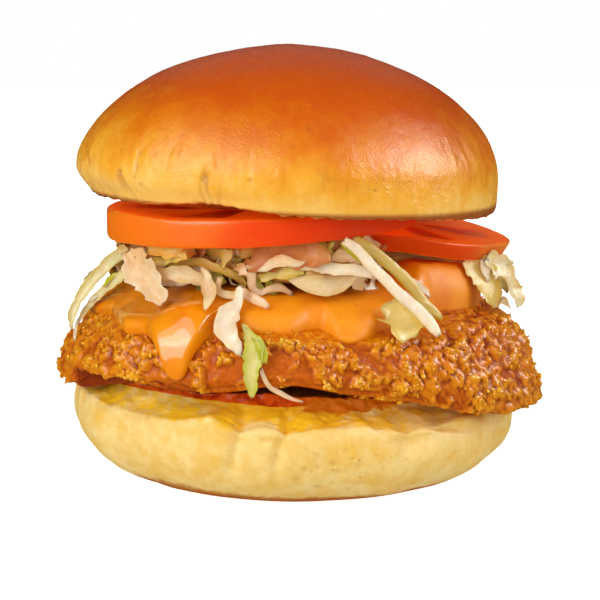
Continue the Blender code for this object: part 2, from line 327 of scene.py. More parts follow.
def round_faces(rows: int, columns: int) -> list[Array]:
    """Faces of rows of points round an axis, closed at both ends on two last points.

    Args:
        rows: Number of rows, from the top.
        columns: Points in a row.

    Returns:
        The quads, and the two fans of triangles.
    """
    row, column = np.meshgrid(np.arange(rows - 1), np.arange(columns), indexing="ij")
    here = row * columns + column
    beside = row * columns + (column + 1) % columns
    quads = np.stack([here, here + columns, beside + columns, beside], axis=-1).reshape(-1, 4)
    around = np.arange(columns)
    after = (around + 1) % columns
    top = np.full(columns, rows * columns)
    low = (rows - 1) * columns
    fans = np.stack([top, around, after], axis=-1)
    under = np.stack([top + 1, low + after, low + around], axis=-1)
    return [quads, fans, under]


@dataclass
class Skin:
    """A closed skin made of rows of points round the upright axis, from its top to its bottom middle."""

    points: Array
    values: dict[str, Array] = field(default_factory=dict)

    def normals(self) -> Array:
        """Outward directions.

        Returns:
            A unit vector at each point.
        """
        down = np.gradient(self.points, axis=0)
        around = np.roll(self.points, -1, axis=1) - np.roll(self.points, 1, axis=1)
        return unit(np.cross(down, around))

    def swell(self, height: Array) -> None:
        """Moves the points outwards by a height."""
        self.points = self.points + self.normals() * height[..., None]

    def hollow(self, height: Array, reach: int) -> Array:
        """How far a height stands above its surroundings.

        Args:
            height: Height at each point.
            reach: How many points away the surroundings are.

        Returns:
            The difference, above 0 on humps and below 0 in hollows.
        """
        around = np.roll(height, reach, axis=1) + np.roll(height, -reach, axis=1)
        padded = np.pad(height, ((reach, reach), (0, 0)), mode="edge")
        return height - (around + padded[: -2 * reach] + padded[2 * reach :]) / 4.0

    def build(self, name: str, material: bpy.types.Material) -> bpy.types.Object:
        """Writes the skin as one object.

        Args:
            name: The piece's name.
            material: Its finish.

        Returns:
            The new object.
        """
        rows, columns, _ = self.points.shape
        ends = np.stack([self.points[0].mean(axis=0), self.points[-1].mean(axis=0)])
        values = {
            key: np.concatenate([value.ravel(), [value[0].mean(), value[-1].mean()]])
            for key, value in self.values.items()
        }
        shell = Shell()
        shell.add(np.concatenate([self.points.reshape(-1, 3), ends]), round_faces(rows, columns), values)
        return shell.build(name, material)


def angles(columns: int, crowd: float = 0.0) -> Array:
    """A row of angles round the axis, shaped to spread over rows.

    Args:
        columns: How many.
        crowd: How much closer together they are at the front, from 0 to under 1.

    Returns:
        The angles, (1, columns).
    """
    even = np.linspace(0.0, math.tau, columns, endpoint=False)
    return (even - math.pi + crowd * np.cos(even))[None, :]


# ---------------- shader maths


def rgb(red: int, green: int, blue: int) -> tuple[float, float, float, float]:
    """A colour as it looks on a screen, turned into linear light.

    Args:
        red: Red, 0 to 255.
        green: Green, 0 to 255.
        blue: Blue, 0 to 255.

    Returns:
        The colour, with an alpha of 1.
    """
    shares = [part / 255.0 for part in (red, green, blue)]
    linear = [part / 12.92 if part <= 0.04045 else ((part + 0.055) / 1.055) ** 2.4 for part in shares]
    return (*linear, 1.0)


def soft(weight: float, green: float, blue: float, scale: float) -> dict[str, object]:
    """Sockets of light that seeps in: green's and blue's reach beside red's, and the scale in metres."""
    reach = (1.0, green, blue)
    return {"Subsurface Weight": weight, "Subsurface Radius": reach, "Subsurface Scale": scale}


class Value:
    """A shader socket that takes part in sums."""

    def __init__(self, paint: "Paint", socket: bpy.types.NodeSocket) -> None:
        """Wraps a socket of a paint's tree."""
        self.paint = paint
        self.socket = socket

    def _math(self, operation: str, first: "Value | float", second: "Value | float") -> "Value":
        """Adds a Math node."""
        return self.paint.node("ShaderNodeMath", {"operation": operation}, {0: first, 1: second})

    def __add__(self, other: "Value | float") -> "Value":
        """Sum."""
        return self._math("ADD", self, other)

    def __sub__(self, other: "Value | float") -> "Value":
        """Difference."""
        return self._math("SUBTRACT", self, other)

    def __mul__(self, other: "Value | float") -> "Value":
        """Product."""
        return self._math("MULTIPLY", self, other)

    def __rsub__(self, other: float) -> "Value":
        """Difference from a number."""
        return self._math("SUBTRACT", other, self)

    __radd__ = __add__
    __rmul__ = __mul__

    def clamped(self) -> "Value":
        """The value kept between 0 and 1."""
        return self.paint.node("ShaderNodeClamp", {}, {0: self})

    def between(self, low: float, high: float) -> "Value":
        """Rises smoothly between two values.

        Args:
            low: Value that gives 0.
            high: Value that gives 1.

        Returns:
            The share, between 0 and 1.
        """
        if low > high:
            return 1.0 - self.between(high, low)
        settings = {"interpolation_type": "SMOOTHSTEP"}
        return self.paint.node("ShaderNodeMapRange", settings, {0: self, 1: low, 2: high, 3: 0.0, 4: 1.0})


class Paint:
    """A material or a world, and the nodes that make it."""

    def __init__(self, name: str, shelf: bpy.types.bpy_prop_collection | None = None) -> None:
        """Starts with an empty tree.

        Args:
            name: Name of the material or world.
            shelf: Where it is made, if it isn't a material.
        """
        self.owner = (bpy.data.materials if shelf is None else shelf).new(name)
        self.owner.use_nodes = True
        self.tree = self.owner.node_tree
        self.tree.nodes.clear()
        self.place: Value | None = None

    def node(
        self,
        kind: str,
        settings: dict[str, object] | None = None,
        inputs: dict[int | str, object] | None = None,
        output: int | str = 0,
    ) -> Value:
        """Adds a node.

        Args:
            kind: The node's type.
            settings: Its settings, set first.
            inputs: A number, colour or Value for each socket.
            output: Which of its sockets is handed on.

        Returns:
            That socket.
        """
        made = self.tree.nodes.new(kind)
        for key, setting in (settings or {}).items():
            if key == "stops":
                self._set_stops(made.color_ramp, setting)
            else:
                setattr(made, key, setting)
        for key, given in (inputs or {}).items():
            if isinstance(given, Value):
                self.tree.links.new(given.socket, made.inputs[key])
            else:
                made.inputs[key].default_value = given
        return Value(self, made.outputs[output])

    @staticmethod
    def _set_stops(ramp: bpy.types.ColorRamp, stops: Stops) -> None:
        """Sets a ramp's stops.

        Args:
            ramp: The ramp.
            stops: The place and colour of each.
        """
        ramp.elements[0].position, ramp.elements[1].position = stops[0][0], stops[-1][0]
        for place, _ in stops[1:-1]:
            ramp.elements.new(place)
        for element, (_, colour) in zip(ramp.elements, stops):
            element.color = colour

    def coordinates(self) -> Value:
        """Places in the object's own metres.

        Returns:
            One socket, the same each time.
        """
        if self.place is None:
            self.place = self.node("ShaderNodeTexCoord", output="Object")
        return self.place

    def stretched(self, x: float, y: float, z: float) -> Value:
        """Places scaled along each axis."""
        settings = {"operation": "MULTIPLY"}
        return self.node("ShaderNodeVectorMath", settings, {0: self.coordinates(), 1: (x, y, z)})

    def noise(
        self, size: float, detail: float = 3.0, place: Value | None = None, rough: float = 0.5
    ) -> Value:
        """Noise of about 0 to 1.

        Args:
            size: Size of a feature in millimetres.
            detail: How many finer layers.
            place: Where, if not the plain coordinates.
            rough: How strong the finer layers are.

        Returns:
            The noise.
        """
        sockets = {"Vector": place or self.coordinates(), "Scale": 1.0 / (size * MM)}
        return self.node("ShaderNodeTexNoise", {}, {**sockets, "Detail": detail, "Roughness": rough})

    def dots(self, size: float, share: float) -> Value:
        """Small dots.

        Args:
            size: Distance between them in millimetres.
            share: Their half width as a share of that distance.

        Returns:
            1 in a dot and 0 outside.
        """
        sockets = {"Vector": self.coordinates(), "Scale": 1.0 / (size * MM)}
        return self.node("ShaderNodeTexVoronoi", {}, sockets).between(share, share * 0.6)

    def stored(self, name: str) -> Value:
        """A value kept in the mesh."""
        return self.node("ShaderNodeAttribute", {"attribute_name": name}, output="Fac")

    def stored_colour(self, name: str) -> Value:
        """A colour kept in the mesh."""
        return self.node("ShaderNodeAttribute", {"attribute_name": name}, output="Color")

    def ramp(self, value: Value, stops: Stops) -> Value:
        """Colours along a value."""
        return self.node("ShaderNodeValToRGB", {"stops": stops}, {0: value})

    def mix(self, share: Value | float, first: object, second: object) -> Value:
        """Mixes two colours.

        Args:
            share: 0 for the first, 1 for the second.
            first: Colour or socket.
            second: Colour or socket.

        Returns:
            The mixed colour.
        """
        settings = {"data_type": "RGBA", "clamp_factor": True}
        return self.node("ShaderNodeMix", settings, {0: share, 6: first, 7: second}, output=2)

    def relief(self, height: Value, depth: float, strength: float = 1.0) -> Value:
        """Small relief.

        Args:
            height: Height, 0 to 1.
            depth: What 1 stands for, in millimetres.
            strength: How much of it shows.

        Returns:
            The bent normal.
        """
        sockets = {"Strength": strength, "Distance": depth * MM, "Height": height}
        return self.node("ShaderNodeBump", {}, sockets)

    def done(self, sockets: dict[str, object]) -> bpy.types.Material:
        """Closes the material.

        Args:
            sockets: Values of the surface's sockets.

        Returns:
            The material.
        """
        surface = self.node("ShaderNodeBsdfPrincipled", {}, sockets)
        return self.close("ShaderNodeOutputMaterial", surface)

    def close(self, kind: str, surface: Value) -> bpy.types.Material | bpy.types.World:
        """Links a surface to an output of that kind, and hands the material or world on."""
        self.tree.links.new(surface.socket, self.tree.nodes.new(kind).inputs["Surface"])
        return self.owner


# ---------------- finishes


@dataclass(frozen=True)
class GlazedCrust:
    """Egg-washed crust: golden at its low edge, red-brown on top, glossy with fine pits, and painted shade
    in its creases.
    """

    low: Colour = rgb(246, 196, 96)
    band: Colour = rgb(240, 172, 44)
    middle: Colour = rgb(224, 126, 0)
    high: Colour = rgb(208, 88, 0)
    top: Colour = rgb(200, 76, 0)
    edge: Colour = rgb(150, 66, 14)

    def paint(self) -> bpy.types.Material:
        """Makes the material.

        Returns:
            The material.
        """
        paint = Paint("glazed_crust")
        clouds = paint.noise(9.0, 4.0)
        mottle = paint.noise(2.2, 3.0)
        height = paint.stored("height") + (clouds - 0.5) * 0.44 + (mottle - 0.5) * 0.16
        colours = (self.low, self.band, self.middle, self.high, self.top)
        colour = paint.ramp(height, tuple(zip((0.0, 0.16, 0.38, 0.62, 1.0), colours)))
        # Darker in pits and creases: the pits are dark specks of the crust, and the darkening in the
        # creases is painted shade.
        colour = paint.mix(paint.stored("pit").clamped() * 0.5, colour, self.edge)
        colour = paint.mix(paint.stored("edge"), colour, self.edge)
        fine = paint.noise(0.55, 3.0, rough=0.6)
        wrinkle = paint.noise(1.6, 3.0, paint.stretched(1.0, 1.0, 0.35))
        gloss = paint.noise(5.0, 3.0)
        return paint.done({
            "Base Color": colour,
            "Roughness": 0.18 + gloss * 0.16,
            "Normal": paint.relief(fine * 1.1 + wrinkle * 0.5, 0.17, 0.8),
            "Specular IOR Level": 0.45,
            **soft(0.12, 0.45, 0.12, 0.0025),
        })


@dataclass(frozen=True)
class SoftCrumb:
    """Pale heel: creamy yellow side, brown base line, buttery ledge and a toasted rim, with painted shade
    in its pores.
    """

    side: Colour = rgb(244, 216, 142)
    shade: Colour = rgb(234, 190, 88)
    ledge: Colour = rgb(250, 196, 32)
    toast: Colour = rgb(228, 92, 20)
    scorched: Colour = rgb(176, 52, 8)
    torn: Colour = rgb(222, 122, 14)
    base: Colour = rgb(190, 104, 0)
    pore: Colour = rgb(206, 148, 54)

    def paint(self) -> bpy.types.Material:
        """Makes the material.

        Returns:
            The material.
        """
        paint = Paint("soft_crumb")
        clouds = paint.noise(7.0, 4.0)
        mottle = paint.noise(2.6, 4.0, rough=0.6)
        colour = paint.mix((clouds * 0.8 + mottle * 0.4).between(0.42, 0.80), self.side, self.shade)
        patches = (clouds - 0.5) * 1.6 + (mottle - 0.5) * 1.8
        colour = paint.mix((paint.stored("ledge") + patches).between(0.30, 1.10), colour, self.ledge)
        browned = paint.stored("base") + (mottle - 0.5) * 0.7
        colour = paint.mix(browned.between(0.25, 0.75), colour, self.base)
        # Painted shade: darker tan dots where the pores are, as shade in the holes.
        pore_shade_dots = paint.dots(2.0, 0.22) * paint.stored("pores") * (mottle - 0.30) * 4.0
        colour = paint.mix(pore_shade_dots.clamped() * 0.8, colour, self.pore)
        toast = paint.mix(mottle.between(0.45, 0.62), self.toast, self.scorched)
        toasted = paint.stored("toast") + (mottle - 0.5) * 0.5
        colour = paint.mix(toasted.between(0.3, 0.7), colour, toast)
        torn = paint.stored("torn") + (mottle - 0.5) * 2.0
        colour = paint.mix(torn.between(0.35, 0.80), colour, self.torn)
        rough = 0.50 - paint.stored("toast") * 0.28 - paint.stored("ledge") * 0.14 + (clouds - 0.5) * 0.2
        fine = paint.noise(0.8, 4.0, rough=0.65)
        return paint.done({
            "Base Color": colour,
            "Roughness": rough.clamped(),
            "Normal": paint.relief(fine + mottle * 0.6, 0.16, 0.7),
            "Specular IOR Level": 0.35,
            **soft(0.20, 0.6, 0.25, 0.003),
        })


@dataclass(frozen=True)
class FriedCrust:
    """Fried breading: golden nodules on a darker, oily skin, with pepper specks and painted shade in its
    hollows and grooves.
    """

    # hollow is the colour of painted shade in the crevices, grooves and recess.
    hollow: Colour = rgb(132, 44, 0)
    skin: Colour = rgb(202, 96, 0)
    crust: Colour = rgb(222, 132, 0)
    peak: Colour = rgb(246, 180, 26)
    pepper: Colour = rgb(56, 30, 14)

    def paint(self) -> bpy.types.Material:
        """Makes the material.

        Returns:
            The material.
        """
        paint = Paint("fried_crust")
        mottle = paint.noise(1.1, 4.0, rough=0.6)
        clouds = paint.noise(7.0, 3.0)
        rise = paint.stored("rise") + (mottle - 0.5) * 0.35 + (clouds - 0.5) * 0.25
        stops = ((0.0, self.hollow), (0.26, self.skin), (0.62, self.crust), (1.0, self.peak))
        colour = paint.ramp(rise, stops)
        # Painted shade: the hollows between the lumps are darkened.
        colour = paint.mix(paint.stored("deep").clamped() * 0.9, colour, self.hollow)
        colour = paint.mix(paint.dots(3.6, 0.075) * 0.85, colour, self.pepper)
        fine = paint.noise(0.45, 3.0, rough=0.65)
        return paint.done({
            "Base Color": colour,
            "Roughness": (0.34 + mottle * 0.25).clamped(),
            "Normal": paint.relief(fine + mottle * 0.7, 0.24, 1.0),
            "Specular IOR Level": 0.12,
            "Coat Weight": ((paint.stored("rise") - 0.12) * 1.2).clamped(),
            "Coat Roughness": 0.10,
            **soft(0.18, 0.40, 0.06, 0.0012),
        })


@dataclass(frozen=True)
class CreamySauce:
    """Thick orange sauce: smooth, glossy, with tiny red and dark specks."""

    body: Colour = rgb(242, 152, 4)
    thin: Colour = rgb(234, 130, 0)
    red: Colour = rgb(176, 40, 8)
    dark: Colour = rgb(84, 36, 16)

    def paint(self) -> bpy.types.Material:
        """Makes the material.

        Returns:
            The material.
        """
        paint = Paint("creamy_sauce")
        clouds = paint.noise(8.0, 3.0)
        colour = paint.mix(clouds.between(0.35, 0.75), self.body, self.thin)
        colour = paint.mix(paint.dots(2.7, 0.085) * 0.75, colour, self.red)
        colour = paint.mix(paint.dots(5.3, 0.05) * 0.8, colour, self.dark)
        fine = paint.noise(3.0, 2.0)
        return paint.done({
            "Base Color": colour,
            "Roughness": (0.52 - paint.stored("wet") * 0.32 + clouds * 0.10).clamped(),
            "Normal": paint.relief(fine, 0.12, 0.40),
            "Specular IOR Level": 0.28,
            "Coat Weight": (paint.stored("wet") * 0.95).clamped(),
            "Coat Roughness": 0.07,
            **soft(0.25, 0.45, 0.12, 0.002),
        })


@dataclass(frozen=True)
class CrispLeaf:
    """Shredded lettuce: each shred's own tint, with fine veins and a moist sheen."""

    vein: Colour = rgb(210, 170, 96)

    def paint(self) -> bpy.types.Material:
        """Makes the material.

        Returns:
            The material.
        """
        paint = Paint("crisp_leaf")
        veins = paint.noise(1.3, 4.0, rough=0.6)
        shade = paint.mix(veins.between(0.35, 0.7) * 0.22, paint.stored_colour("tint"), self.vein)
        return paint.done({
            "Base Color": shade,
            "Roughness": 0.26 + veins * 0.20,
            "Normal": paint.relief(veins, 0.22, 0.8),
            "Specular IOR Level": 0.50,
            **soft(0.35, 0.75, 0.35, 0.0010),
        })


@dataclass(frozen=True)
class WetTomato:
    """Tomato: smooth red skin, paler flesh on the cut faces, wet, with painted light: a paler lit side and
    a faint glow on the cut faces.
    """

    name: str
    skin: Colour
    lit: Colour
    flesh: Colour = rgb(244, 62, 2)
    wall: Colour = rgb(252, 106, 10)

    def paint(self) -> bpy.types.Material:
        """Makes the material.

        Returns:
            The material.
        """
        paint = Paint(self.name)
        clouds = paint.noise(9.0, 3.0)
        streaks = paint.noise(1.6, 3.0, paint.stretched(1.0, 1.0, 3.0))
        # Painted light: the skin is paler where the lamps light it, at the left of the front slice and the
        # right of the side slice.
        lit = paint.stored("lit") + (clouds - 0.5) * 0.5
        skin = paint.mix(lit.between(0.1, 0.9), self.skin, self.lit)
        flesh = paint.mix(paint.stored("wall"), self.flesh, self.wall)
        colour = paint.mix(paint.stored("cut"), skin, flesh)
        colour = paint.mix(streaks.between(0.55, 0.8) * 0.10, colour, self.wall)
        return paint.done({
            "Base Color": colour,
            "Roughness": 0.34 + clouds * 0.16,
            "Normal": paint.relief(streaks * 0.4 + clouds, 0.14, 0.5),
            "Specular IOR Level": 0.25,
            "Coat Weight": (paint.stored("wet") * (clouds * 2.0 - 0.4)).clamped(),
            "Coat Roughness": 0.08,
            # Painted light: the cut faces glow faintly in their flesh colour, brightening them in the
            # crown's shade.
            "Emission Color": paint.mix(paint.stored("cut"), rgb(0, 0, 0), flesh),
            "Emission Strength": 0.14,
            **soft(0.65, 0.32, 0.08, 0.006),
        })


@dataclass(frozen=True)
class PaleTable:
    """A plain, nearly white table."""

    colour: Colour = (0.90, 0.90, 0.90, 1.0)

    def paint(self) -> bpy.types.Material:
        """Makes the material.

        Returns:
            The material.
        """
        paint = Paint("pale_table")
        return paint.done({
            "Base Color": self.colour,
            "Roughness": 0.8,
            "Specular IOR Level": 0.1,
            "Emission Color": self.colour,
            "Emission Strength": 1.0,
        })


# ---------------- planes that pieces share


def cut_plane(x: Array) -> Array:
    """Height of the heel's sloping cut face at x."""
    return CUT_HEIGHT - CUT_SLOPE * x


def slice_plane(x: Array | float) -> Array | float:
    """Height of the front slice's underside at x."""
    return SLICE_LEVEL + 0.030 * (x + 9.2)


def slice_droop(x: Array | float) -> Array | float:
    """How far the side slice hangs below level at x."""
    past = x - 22.0
    return 0.075 * (past + np.hypot(past, 6.0))


# ---------------- the fillet


@dataclass
class Fillet:
    """The fried fillet: its plain form, its crust and the crumbs on it.

    Nothing shows within the hidden radius. A bare spot is how bare it is, its middle and its reach.
    """

    length: float = 122.4
    width: float = 110.0
    thickness: float = 20.0
    hidden: float = 40.0
    columns: int = 640
    pitch: float = 0.38
    hidden_pitch: float = 3.0
    crumbs: int = 900
    bare_spots: tuple[tuple[float, Triple, Triple], ...] = (
        (0.55, (3.0, -54.0, 29.5), (10.0, 14.0, 3.5)),
        (1.0, (-36.0, -44.0, 24.8), (20.0, 14.0, 1.9)),
        (0.3, (24.0, -50.0, 27.0), (20.0, 12.0, 2.5)),
        (0.5, (-22.0, -50.0, 33.0), (6.0, 10.0, 5.0)),
    )

    def outline(self, theta: Array) -> Array:
        """The outline from above.

        Args:
            theta: Angles round the axis.

        Returns:
            Its radius at each.
        """
        half_length, half_width = self.length / 2.0, self.width / 2.0
        oval = half_length * half_width / np.hypot(half_width * np.cos(theta), half_length * np.sin(theta))
        lobes = ripple(theta, ((0.9, 3, 0.4), (0.7, 5, 2.0), (0.5, 8, 1.1)))
        squared = 1.4 * hump(theta, -128.0, 20.0) + 1.8 * hump(theta, -42.0, 22.0)
        return oval + lobes * np.abs(np.sin(theta)) + squared

    def sides(self, x: Array, y: Array) -> tuple[Array, Array]:
        """The underside, arched at the front and drooping past the heel's rim, and the upper side.

        Args:
            x: Places along X.
            y: Places along Y.

        Returns:
            The height of each side.
        """
        reach = np.hypot(x, y)
        side = x / np.maximum(reach, 1e-6)
        droop = 1.5 + 6.5 * smoothstep(0.70, 0.97, -side) + 6.6 * smoothstep(0.20, 0.90, side)
        arch = 3.6 * bell(x, -3.0, 11.0) * smoothstep(30.0, 48.0, -y)
        low = cut_plane(x) + GAP + arch - droop * smoothstep(45.0, 58.0, reach)
        lumps = 0.5 * np.sin(x / 9.0 + 0.6) * np.cos(y / 11.0)
        share = np.hypot(2.0 * x / self.length, 2.0 * y / self.width)
        left = 1.4 * smoothstep(30.0, 56.0, -x)
        return low, cut_plane(x) + self.thickness + lumps - 1.6 * share**2 + 0.02 * x - left

    def place(self, theta: Array, polar: Array) -> Array:
        """Places on the plain form.

        Args:
            theta: Angles round the axis.
            polar: 0 at the middle of the top and pi under the middle.

        Returns:
            The places, (..., 3).
        """
        across = np.sqrt(np.sin(polar))
        upright = np.sign(np.cos(polar)) * np.abs(np.cos(polar)) ** 0.55
        right = hump(theta, 0.0, 40.0)
        shoulder = 3.0 + 6.5 * right + 5.5 * hump(theta, 180.0, 34.0)
        foot = 1.2 * right * bell(polar / math.pi, 0.66, 0.09)
        notch = 1.8 * hump(theta, -4.0, 14.0) * bell(polar / math.pi, 0.54, 0.05)
        radius = across * (self.outline(theta) - shoulder * ((upright + 1.0) / 2.0) ** 2 * across)
        radius = radius + foot - notch
        x, y = radius * np.cos(theta), radius * np.sin(theta)
        low, high = self.sides(x, y)
        return stacked(x, y, (low + high) / 2.0 + upright * (high - low) / 2.0)

    def rows(self) -> Array:
        """Rows, close together on the side and far apart on the hidden faces.

        Returns:
            The polar angle of each, (rows, 1).
        """
        fine = np.linspace(0.004, math.pi - 0.004, 4000)
        line = self.place(np.full_like(fine, -math.pi / 2.0), fine)
        step = np.linalg.norm(np.diff(line, axis=0), axis=1)
        shown = (np.hypot(line[1:, 0], line[1:, 1]) > self.hidden) & (fine[1:] < 0.82 * math.pi)
        along = np.concatenate([[0.0], np.cumsum(step / np.where(shown, self.pitch, self.hidden_pitch))])
        return np.interp(np.arange(0.0, along[-1], 1.0), along, fine)[:, None]

    def crust(self, skin: Skin) -> tuple[Array, Array]:
        """Height of the crust over the plain form, and its tone.

        Args:
            skin: The plain form.

        Returns:
            Height in millimetres, and a tone that rises from the dark grooves to the golden flakes;
            painted shade darkens the grooves, the notch and the recess under the left edge.
        """
        points = skin.points
        x, y, z = points[..., 0], points[..., 1], points[..., 2]
        theta = np.arctan2(y, x)
        facing = skin.normals()[..., 2]
        inland = smoothstep(-58.0, -50.0, x)
        noise = Noise(11)
        bent = points + 0.9 * noise.push(points, 3.0)
        grooved = hump(theta, -30.0, 24.0) * smoothstep(31.0, 36.0, z)
        bent[..., 2] = 36.0 + (bent[..., 2] - 36.0) * (1.0 - 0.5 * grooved)
        bare = sum(share * blob(points, centre, reach) for share, centre, reach in self.bare_spots)
        # A recess under the lower left edge, dented in and painted dark red-brown as if in shadow.
        shadow_painted_recess = np.clip(1.4 * hump(theta, -140.0, 18.0), 0.0, 1.0)
        shadow_painted_recess *= smoothstep(30.6, 28.6, z + 1.6 * Noise(13).layered(points, 4.0, 2)) * inland
        patchy = noise.layered(bent, 6.5, 3, 0.5) + 0.14 - 0.8 * bare + 0.35 * grooved
        patchy = patchy + 0.3 * hump(theta, -24.0, 20.0)
        clump = smoothstep(-0.12, 0.10, patchy) * (1.0 - shadow_painted_recess)
        small = self.nodules(bent, 1.4, 15, 0.25 + 0.55 * clump)
        large = self.nodules(bent, 3.0, 19, 0.08 + 0.60 * clump + 0.2 * grooved)
        near, second, luck = Noise(20).cells(bent + 0.8 * noise.push(points, 1.5), 3.3)
        chunk = smoothstep(0.02, 0.22, second - near) * (0.35 + 0.65 * luck) * clump
        flake = smoothstep(0.10, 0.16, Noise(12).layered(bent, 3.0, 3, 0.55) - 0.25 * bare) * clump
        height = 0.50 * Noise(16).layered(points, 13.0, 2) + 0.22 * noise.layered(points, 4.0, 2) - 1.10
        height = height + 0.20 * clump
        height -= 0.9 * smoothstep(46.0, 54.0, np.abs(x)) * smoothstep(30.0, 36.0, z)
        lumps = 0.36 * small + 1.05 * large + 0.70 * chunk + 0.25 * flake
        height += lumps + 0.09 * noise.layered(points, 1.1, 2)
        upright = points * (1.0, 1.0, 0.30) + 0.25 * noise.push(points, 2.0)
        groove = grooved * smoothstep(0.20, 0.03, np.abs(Noise(17).smooth(upright, 2.6)))
        height += 0.35 * grooved - 1.25 * groove
        hem = smoothstep(26.5, 23.5, z + CUT_SLOPE * x) * smoothstep(-0.98, -0.6, facing)
        height += 0.7 * hem * (1.0 - 0.8 * bell(x, -3.0, 9.0) * (y < 0.0))
        ridge = hump(theta, -146.0, 20.0) * bell(z, 32.0, 1.6) * inland
        notch = hump(theta, -96.0, 8.0) * smoothstep(31.0, 28.0, z)
        height += 0.6 * ridge - 2.2 * notch - shadow_painted_recess * (2.0 - 0.6 * Noise(14).layered(points, 2.6, 3))
        covered = np.maximum(smoothstep(0.80, 0.97, facing), smoothstep(-0.75, -0.95, facing))
        height = height * (1.0 - covered) + np.clip(height, -0.3, 0.25) * covered
        tone = 0.26 + 0.12 * clump + 0.26 * small + 0.20 * large + 0.22 * chunk
        tone = tone + 0.14 * flake + 0.15 * ridge
        # Painted shade: darker tone in the shadowed recess under the left edge, in the grooves and in the
        # notch.
        tone -= 0.62 * shadow_painted_recess + 0.5 * groove + 0.3 * notch
        return height, np.clip(tone, 0.0, 1.2)

    @staticmethod
    def nodules(points: Array, size: float, seed: int, share: Array) -> Array:
        """Rounded nodules of breading.

        Args:
            points: Places.
            size: Distance between nodules.
            seed: Seed of their places.
            share: How many of them there are, at each place.

        Returns:
            0 between them, up to 1 on the largest.
        """
        near, _, luck = Noise(seed).cells(points, size)
        reach = 0.42 + 0.30 * luck
        ball = np.sqrt(np.clip(1.0 - (near / reach) ** 2, 0.0, 1.0))
        return ball * (0.5 + 0.5 * luck) * smoothstep(luck - 0.06, luck + 0.06, share)

    def skin(self) -> Skin:
        """The crust as a fine skin.

        Returns:
            The skin, with how raised each place is and how much painted shade its hollows get.
        """
        skin = Skin(self.place(angles(self.columns, 0.5), self.rows()))
        height, tone = self.crust(skin)
        sideways = Noise(18).push(skin.points, 1.6) * (0.22 * np.clip(height, 0.0, 1.5))[..., None]
        skin.points = skin.points + skin.normals() * height[..., None] + sideways
        skin.values["rise"] = tone
        # Painted shade for the hollows between the lumps.
        deep = -1.3 * skin.hollow(height, 2) - 0.7 * skin.hollow(height, 6) - 0.12
        skin.values["deep"] = np.clip(deep, 0.0, 1.0)
        return skin

    def scatter(self, skin: Skin) -> Shell:
        """Crumbs and flakes on the crust.

        Args:
            skin: The crust.

        Returns:
            The crumbs as one shell.
        """
        rng = np.random.default_rng(21)
        points = skin.points.reshape(-1, 3)
        out = skin.normals().reshape(-1, 3)
        rise = skin.values["rise"].ravel()
        side = (np.hypot(points[:, 0], points[:, 1]) > self.hidden) & (np.abs(out[:, 2]) < 0.8)
        weight = np.where(side, np.clip(rise - 0.55, 0.0, 1.0), 0.0)
        picked = rng.choice(len(points), size=self.crumbs, replace=False, p=weight / weight.sum())
        shades = {"rise": (0.60, 1.05), "deep": (0.0, 0.1)}
        return scattered_crumbs(points[picked], out[picked], 0.22, 0.62, rng, shades)


def ball_template() -> tuple[Array, Array]:
    """A small ball of 42 points.

    Returns:
        Its points and triangles.
    """
    golden = (1.0 + math.sqrt(5.0)) / 2.0
    corners = []
    for a, b in product((-1.0, 1.0), repeat=2):
        corners += [(0.0, a, b * golden), (a, b * golden, 0.0), (b * golden, 0.0, a)]
    corners = unit(np.array(corners))
    middles = [unit(a + b) for a, b in combinations(corners, 2) if np.linalg.norm(a - b) < 1.1]
    points = np.concatenate([corners, middles])
    near = np.linalg.norm(points[:, None] - points[None], axis=-1) < 0.7
    threes = combinations(range(len(points)), 3)
    faces = np.array([(i, j, k) for i, j, k in threes if near[i, j] and near[j, k] and near[i, k]])
    first, second, third = points[faces].transpose(1, 0, 2)
    inward = (np.cross(second - first, third - first) * first).sum(axis=-1) < 0.0
    faces[inward] = faces[inward][:, ::-1]
    return points, faces


def scattered_crumbs(
    places: Array,
    out: Array,
    least: float,
    most: float,
    rng: np.random.Generator,
    shades: dict[str, tuple[float, float]],
) -> Shell:
    """Irregular crumbs half sunk in a surface.

    Args:
        places: Where each one sits, (n, 3).
        out: The surface's direction there.
        least: Smallest half width.
        most: Largest half width.
        rng: Source of chance.
        shades: Lowest and highest stored value, by name.

    Returns:
        All of them as one shell.
    """
    ball, faces = ball_template()
    count = len(places)
    size = least + (most - least) * rng.random(count) ** 2.2
    squash = 0.55 + 0.75 * rng.random((count, 3))
    turn = np.linalg.qr(rng.normal(size=(count, 3, 3)))[0]
    seeds = rng.random((count, 1, 3)) * 400.0
    lumps = 1.0 + 0.55 * Noise(31).layered(ball[None] + seeds, 1.1, 2)
    bodies = ball[None] * lumps[..., None] * squash[:, None, :] * size[:, None, None]
    bodies = np.einsum("nij,nkj->nki", turn, bodies) + (places + out * (size * 0.30)[:, None])[:, None, :]
    all_faces = (faces[None] + (np.arange(count) * len(ball))[:, None, None]).reshape(-1, 3)
    values = {}
    for name, (low, high) in shades.items():
        each = low + (high - low) * rng.random(count)
        values[name] = np.repeat(each, len(ball)) + 0.12 * (lumps.ravel() - 1.0)
    shell = Shell()
    shell.add(bodies.reshape(-1, 3), [all_faces], values)
    return shell


# ---------------- the sauce


